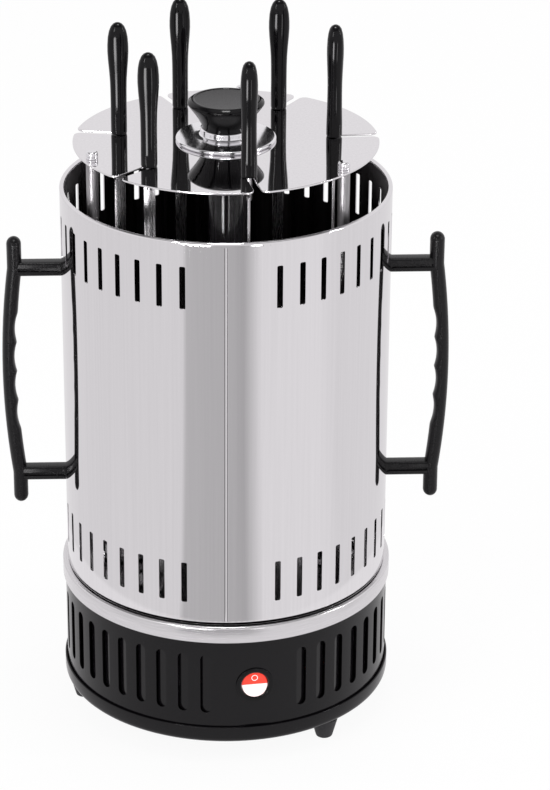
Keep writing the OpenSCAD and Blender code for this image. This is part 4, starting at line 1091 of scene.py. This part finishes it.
@dataclass
class Top:
    """Slotted plate, knob on its flange, posts and the central heater, in millimetres and degrees."""

    plate_top: float = 358.4
    plate_round: float = 0.25
    flange: Outline = (
        (2.1, 6.8), (13, 6.8), (14, 3.9), (23.6, 1.1), (26.9, 0), (29.1, 0, 1.08), (29.1, 2.2, 1.08),
        (17.2, 3.5, 1.5), (15, 4.1, 0.9), (15, 7.8, 1.1), (2.1, 7.8),
    )
    knob_low: float = 366.2
    knob: Outline = (
        (0, 0), (14, 0, 0.3), (14.3, 2.1), (15.9, 5.2), (18.1, 8.6), (20.5, 11.8), (22.6, 14.8, 0.9),
        (20, 16.9, 0.8), (18.4, 16.9, 0.2), (18, 16.55, 0.2), (0, 16.55),
    )
    knob_dish: float = 18.3
    post: Outline = (
        (0, 62.6), (2, 62.6), (2, 85), (3.5, 85, 0.4), (3.5, 357.3, 0.4), (2, 357.3), (2, 361.3), (0, 361.3),
    )
    nut: Outline = (
        (2.05, 0), (3.5, 0, 0.3), (3.5, 1.1, 0.2), (3.2, 1.4, 0.15), (3.5, 1.7, 0.2), (3.5, 4.4, 1.2),
        (0, 4.4), (0, 3), (2.05, 3),
    )
    post_reach: float = 83.0
    post_angles: tuple[float, ...] = (53.3, 173.3, 293.3)
    tube: Outline = ((8.8, 93), (10, 93), (10, 344.3, 0.4), (8.8, 344.3, 0.4))
    core: Outline = (
        (0, 93), (8.3, 93, 0.5), (8.3, 98), (6, 98), (6, 339), (8.3, 339), (8.3, 344, 0.5), (0, 344),
    )
    cap: Outline = (
        (10.1, 335.3), (13, 335.3, 0.5), (13, 357.3, 5.5), (2.1, 357.3), (2.1, 355.8), (7, 355.8),
        (7, 344.6), (10.1, 344.6),
    )
    coil_r: float = 6.95
    coil_z: Corner = (100.2, 336.8)
    coil_turns: int = 24
    coil_steps: int = 40
    wire_d: float = 1.1
    wire_sides: int = 10

    def slotted_plate(self) -> None:
        """Softens the edges of the slotted plate and keeps its faces flat."""
        plate = cad_copy("top_plate")
        bmesh.ops.dissolve_limit(plate, angle_limit=math.radians(1), verts=plate.verts, edges=plate.edges,
                                 use_dissolve_boundaries=False, delimit=set())
        rims = [e for e in sharp_edges(plate, math.radians(60))
                if abs(e.verts[0].co.z - e.verts[1].co.z) < NEAR]
        soften(plate, rims, self.plate_round, 2)
        piece = finish_piece(
            "slotted_top_plate", plate, MIRROR_PLATE, ["top_plate"], crease=50)
        piece.modifiers.new("flat_faces", "WEIGHTED_NORMAL").keep_sharp = True

    def flange_and_knob(self) -> None:
        """Makes the chrome flange and the flared knob."""
        flange = turned(self.flange, 128, segments=8, lift=self.plate_top)
        finish_piece("chrome_flange", flange, WORN_CHROME, ["knob_flange"])
        knob = turned(self.knob, 128, lift=self.knob_low)
        piece = finish_piece("flared_knob", knob, GLOSS_PHENOLIC, ["knob"], crease=40)
        dish = self.knob_dish * MM
        dress_faces(piece, SATIN_PHENOLIC, lambda centre, way: way.z > 0.99 and centre.xy.length < dish)

    def posts(self) -> None:
        """Makes the three posts with their cap nuts."""
        posts, nuts = bmesh.new(), bmesh.new()
        for place in (spot(angle, self.post_reach) for angle in self.post_angles):
            join(posts, shift(turned(self.post, 40, segments=3), place))
            join(nuts, shift(turned(self.nut, 40, closed=False, lift=self.plate_top), place))
        finish_piece("bright_posts", posts, DRAWN_TUBE, ["posts"])
        finish_piece("cap_nuts", nuts, CHROME, ["post_cap_nuts"])

    def wire(self) -> BMesh:
        """Winds the heating wire, with its two straight ends.

        Returns:
            The wire, in millimetres.
        """
        (start, end), thick, lead_h = self.coil_z, self.wire_d / 2, 2 * self.wire_d
        steps = self.coil_steps * self.coil_turns
        coil = bmesh.new()
        bmesh.ops.create_circle(coil, segments=self.wire_sides, radius=thick)
        shift(rotate(coil, 90, "X"), (self.coil_r, 0, start))
        bmesh.ops.spin(coil, geom=coil.verts[:] + coil.edges[:], cent=(0, 0, 0), axis=(0, 0, 1),
                       dvec=(0, 0, (end - start) / steps), angle=FULL_TURN * self.coil_turns, steps=steps)
        corners = [(0, 0), (thick, 0), (thick, lead_h), (0, lead_h)]
        for bottom in (start - lead_h, end):
            join(coil, shift(turned(corners, self.wire_sides, lift=bottom), (self.coil_r, 0, 0)))
        bmesh.ops.holes_fill(coil, edges=[e for e in coil.edges if e.is_boundary])
        bmesh.ops.recalc_face_normals(coil, faces=coil.faces)
        return coil

    def heater(self) -> None:
        """Makes the quartz tube, the wound core and the domed cap."""
        tube = turned(self.tube, 64, segments=3)
        finish_piece("quartz_tube_clear", tube, QUARTZ, ["quartz_tube"])
        finish_piece("wound_core", turned(self.core, 48), BURNT_CERAMIC, ["ceramic_core"])
        finish_piece("wound_wire", self.wire(), HEATING_WIRE, ["heating_coil"], crease=60)
        cap = turned(self.cap, 72, segments=8)
        finish_piece("domed_cap", cap, CHROME, ["heater_cap"])

    def build(self) -> None:
        """Builds the top and the heater."""
        self.slotted_plate()
        self.flange_and_knob()
        self.posts()
        self.heater()


@dataclass
class Skewers:
    """The six skewers on their geared spindles.

    The handle's outline gives shares of its length from the top, of its width and of its thickness.
    """

    first: float = 11.8
    pitch: float = 55.4
    reach: float = 62.9
    turns: tuple[float, ...] = (90, 0, 0, 0, 0, 90)
    blade: Corner = (6.4, 1.6)
    blade_low: float = 89.9
    blade_round: float = 0.22
    tip_h: float = 4.0
    tip_share: float = 0.45
    neck_z: float = 347.7
    neck_d: float = 3.4
    handle_z: float = 358.7
    handle_len: float = 66.8
    handle_w: float = 12.2
    handle_t: float = 9.8
    handle_sides: int = 32
    handle_power: float = 0.85
    outline: tuple[Place, ...] = (
        (0, 0.18, 0.2), (0.012, 0.42, 0.48), (0.035, 0.64, 0.7), (0.075, 0.82, 0.85), (0.13, 0.94, 0.95),
        (0.2, 0.995, 1), (0.26, 1, 1), (0.34, 0.95, 0.96), (0.43, 0.865, 0.91), (0.52, 0.8, 0.875),
        (0.61, 0.775, 0.87), (0.74, 0.765, 0.89), (0.88, 0.77, 0.94), (0.985, 0.77, 0.95), (1, 0.72, 0.89),
    )

    def handle(self) -> BMesh:
        """Makes the plastic handle at the axis, with the blade's wide side along X.

        Returns:
            The handle, in millimetres.
        """
        # The section is an oval with slightly squared sides.
        turns = (FULL_TURN * j / self.handle_sides for j in range(self.handle_sides))
        points = ((math.cos(turn), math.sin(turn)) for turn in turns)
        section = [[math.copysign(abs(v) ** self.handle_power, v) for v in point] for point in points]
        rings = []
        for share, wide, thick in reversed(self.outline):
            w, t = self.handle_w / 2 * wide, self.handle_t / 2 * thick
            z = self.handle_z + self.handle_len * (1 - share)
            rings.append([Vector((w * x, t * y, z)) for x, y in section])
        return loft(rings)

    def steel(self) -> BMesh:
        """Makes the blade, pointed below and drawn in above, and its neck, at the axis.

        Returns:
            The steel, in millimetres.
        """
        (wide, thick), thin = self.blade, self.neck_d / 2
        low, top = self.blade_low + self.tip_h, self.neck_z - thin
        blade = block((wide, thick, top - low), (0, 0, (top + low) / 2))
        for height, share, grow in ((low, self.tip_share, -self.tip_h), (top, self.neck_d / wide, thin)):
            end = [f for f in blade.faces
                   if abs(f.normal.z) > 0.9 and abs(f.calc_center_median().z - height) < 0.1]
            far = bmesh.ops.extrude_discrete_faces(blade, faces=end)["faces"]
            tips = list({v for f in far for v in f.verts})
            stretch(shift(blade, (0, 0, grow), tips), (share, 1, 1), tips)
        bmesh.ops.remove_doubles(blade, verts=blade.verts, dist=CLOSE)
        soften(blade, sharp_edges(blade, 1.2), self.blade_round, 2)
        bottom, top = self.neck_z - self.neck_d, self.handle_z + self.handle_len / 2
        neck = turned([(0, bottom), (thin, bottom), (thin, top), (0, top)], 32)
        return join(tidy(blade, CLOSE), neck)

    def build(self) -> None:
        """Builds the skewers and gives the spindles' turned faces their smoothness."""
        for k, turn in enumerate(self.turns, 1):
            angle = self.first - (k - 1) * self.pitch
            for name, node, body, finish, slot in (
                ("grip", "handle", self.handle(), GLOSS_PHENOLIC, "black_gloss_plastic"),
                ("steel", "blade", self.steel(), BLADE_STEEL, "polished_steel"),
            ):
                shift(rotate(body, turn, "Z"), spot(angle, self.reach))
                finish_piece(f"skewer_{k}_{name}", body, finish, [f"skewer_{node}_{k}"],
                             f"skewer_{k}", crease=50)
            finish_piece(f"drip_spindle_{k}", cad_copy(f"spindle_{k}"), SPUN_STEEL, [f"spindle_{k}"],
                         f"spindle_drive_{k}")


@dataclass
class Works:
    """The hidden pieces that keep their CAD solids and get their real finish."""

    finishes: dict[Finish, tuple[str, ...]] = field(default_factory=lambda: {
        ZINC_STEEL: ("gear_plate", "frame_pillars", "pillar_screws", "post_spacers", "motor_body",
                     "motor_screws", "post_foot_nuts", "knob_screw", "handle_screws"),
        BRASS: ("motor_pinion", "switch_terminals", "heater_terminals"),
        NYLON: ("deck_bushes", "plate_bushes", "terminal_block",
                *(f"spindle_gear_{k}" for k in range(1, 7))),
        CERAMIC: ("heater_base",),
        LEAD_SILICONE: ("wiring",),
    })

    def build(self) -> None:
        """Dresses each node."""
        for finish, nodes in self.finishes.items():
            for node in nodes:
                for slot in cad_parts[node].material_slots:
                    slot.material = finish.material()
                LOG.info("%s: %s", node, finish.name)


def main() -> None:
    """Builds the grill and its studio."""
    logging.basicConfig(level=logging.INFO, format="%(message)s")
    for part in (Studio(), Base(), Top(), Skewers(), Shell(), Works()):
        part.build()


if __name__ == "__main__":
    main()
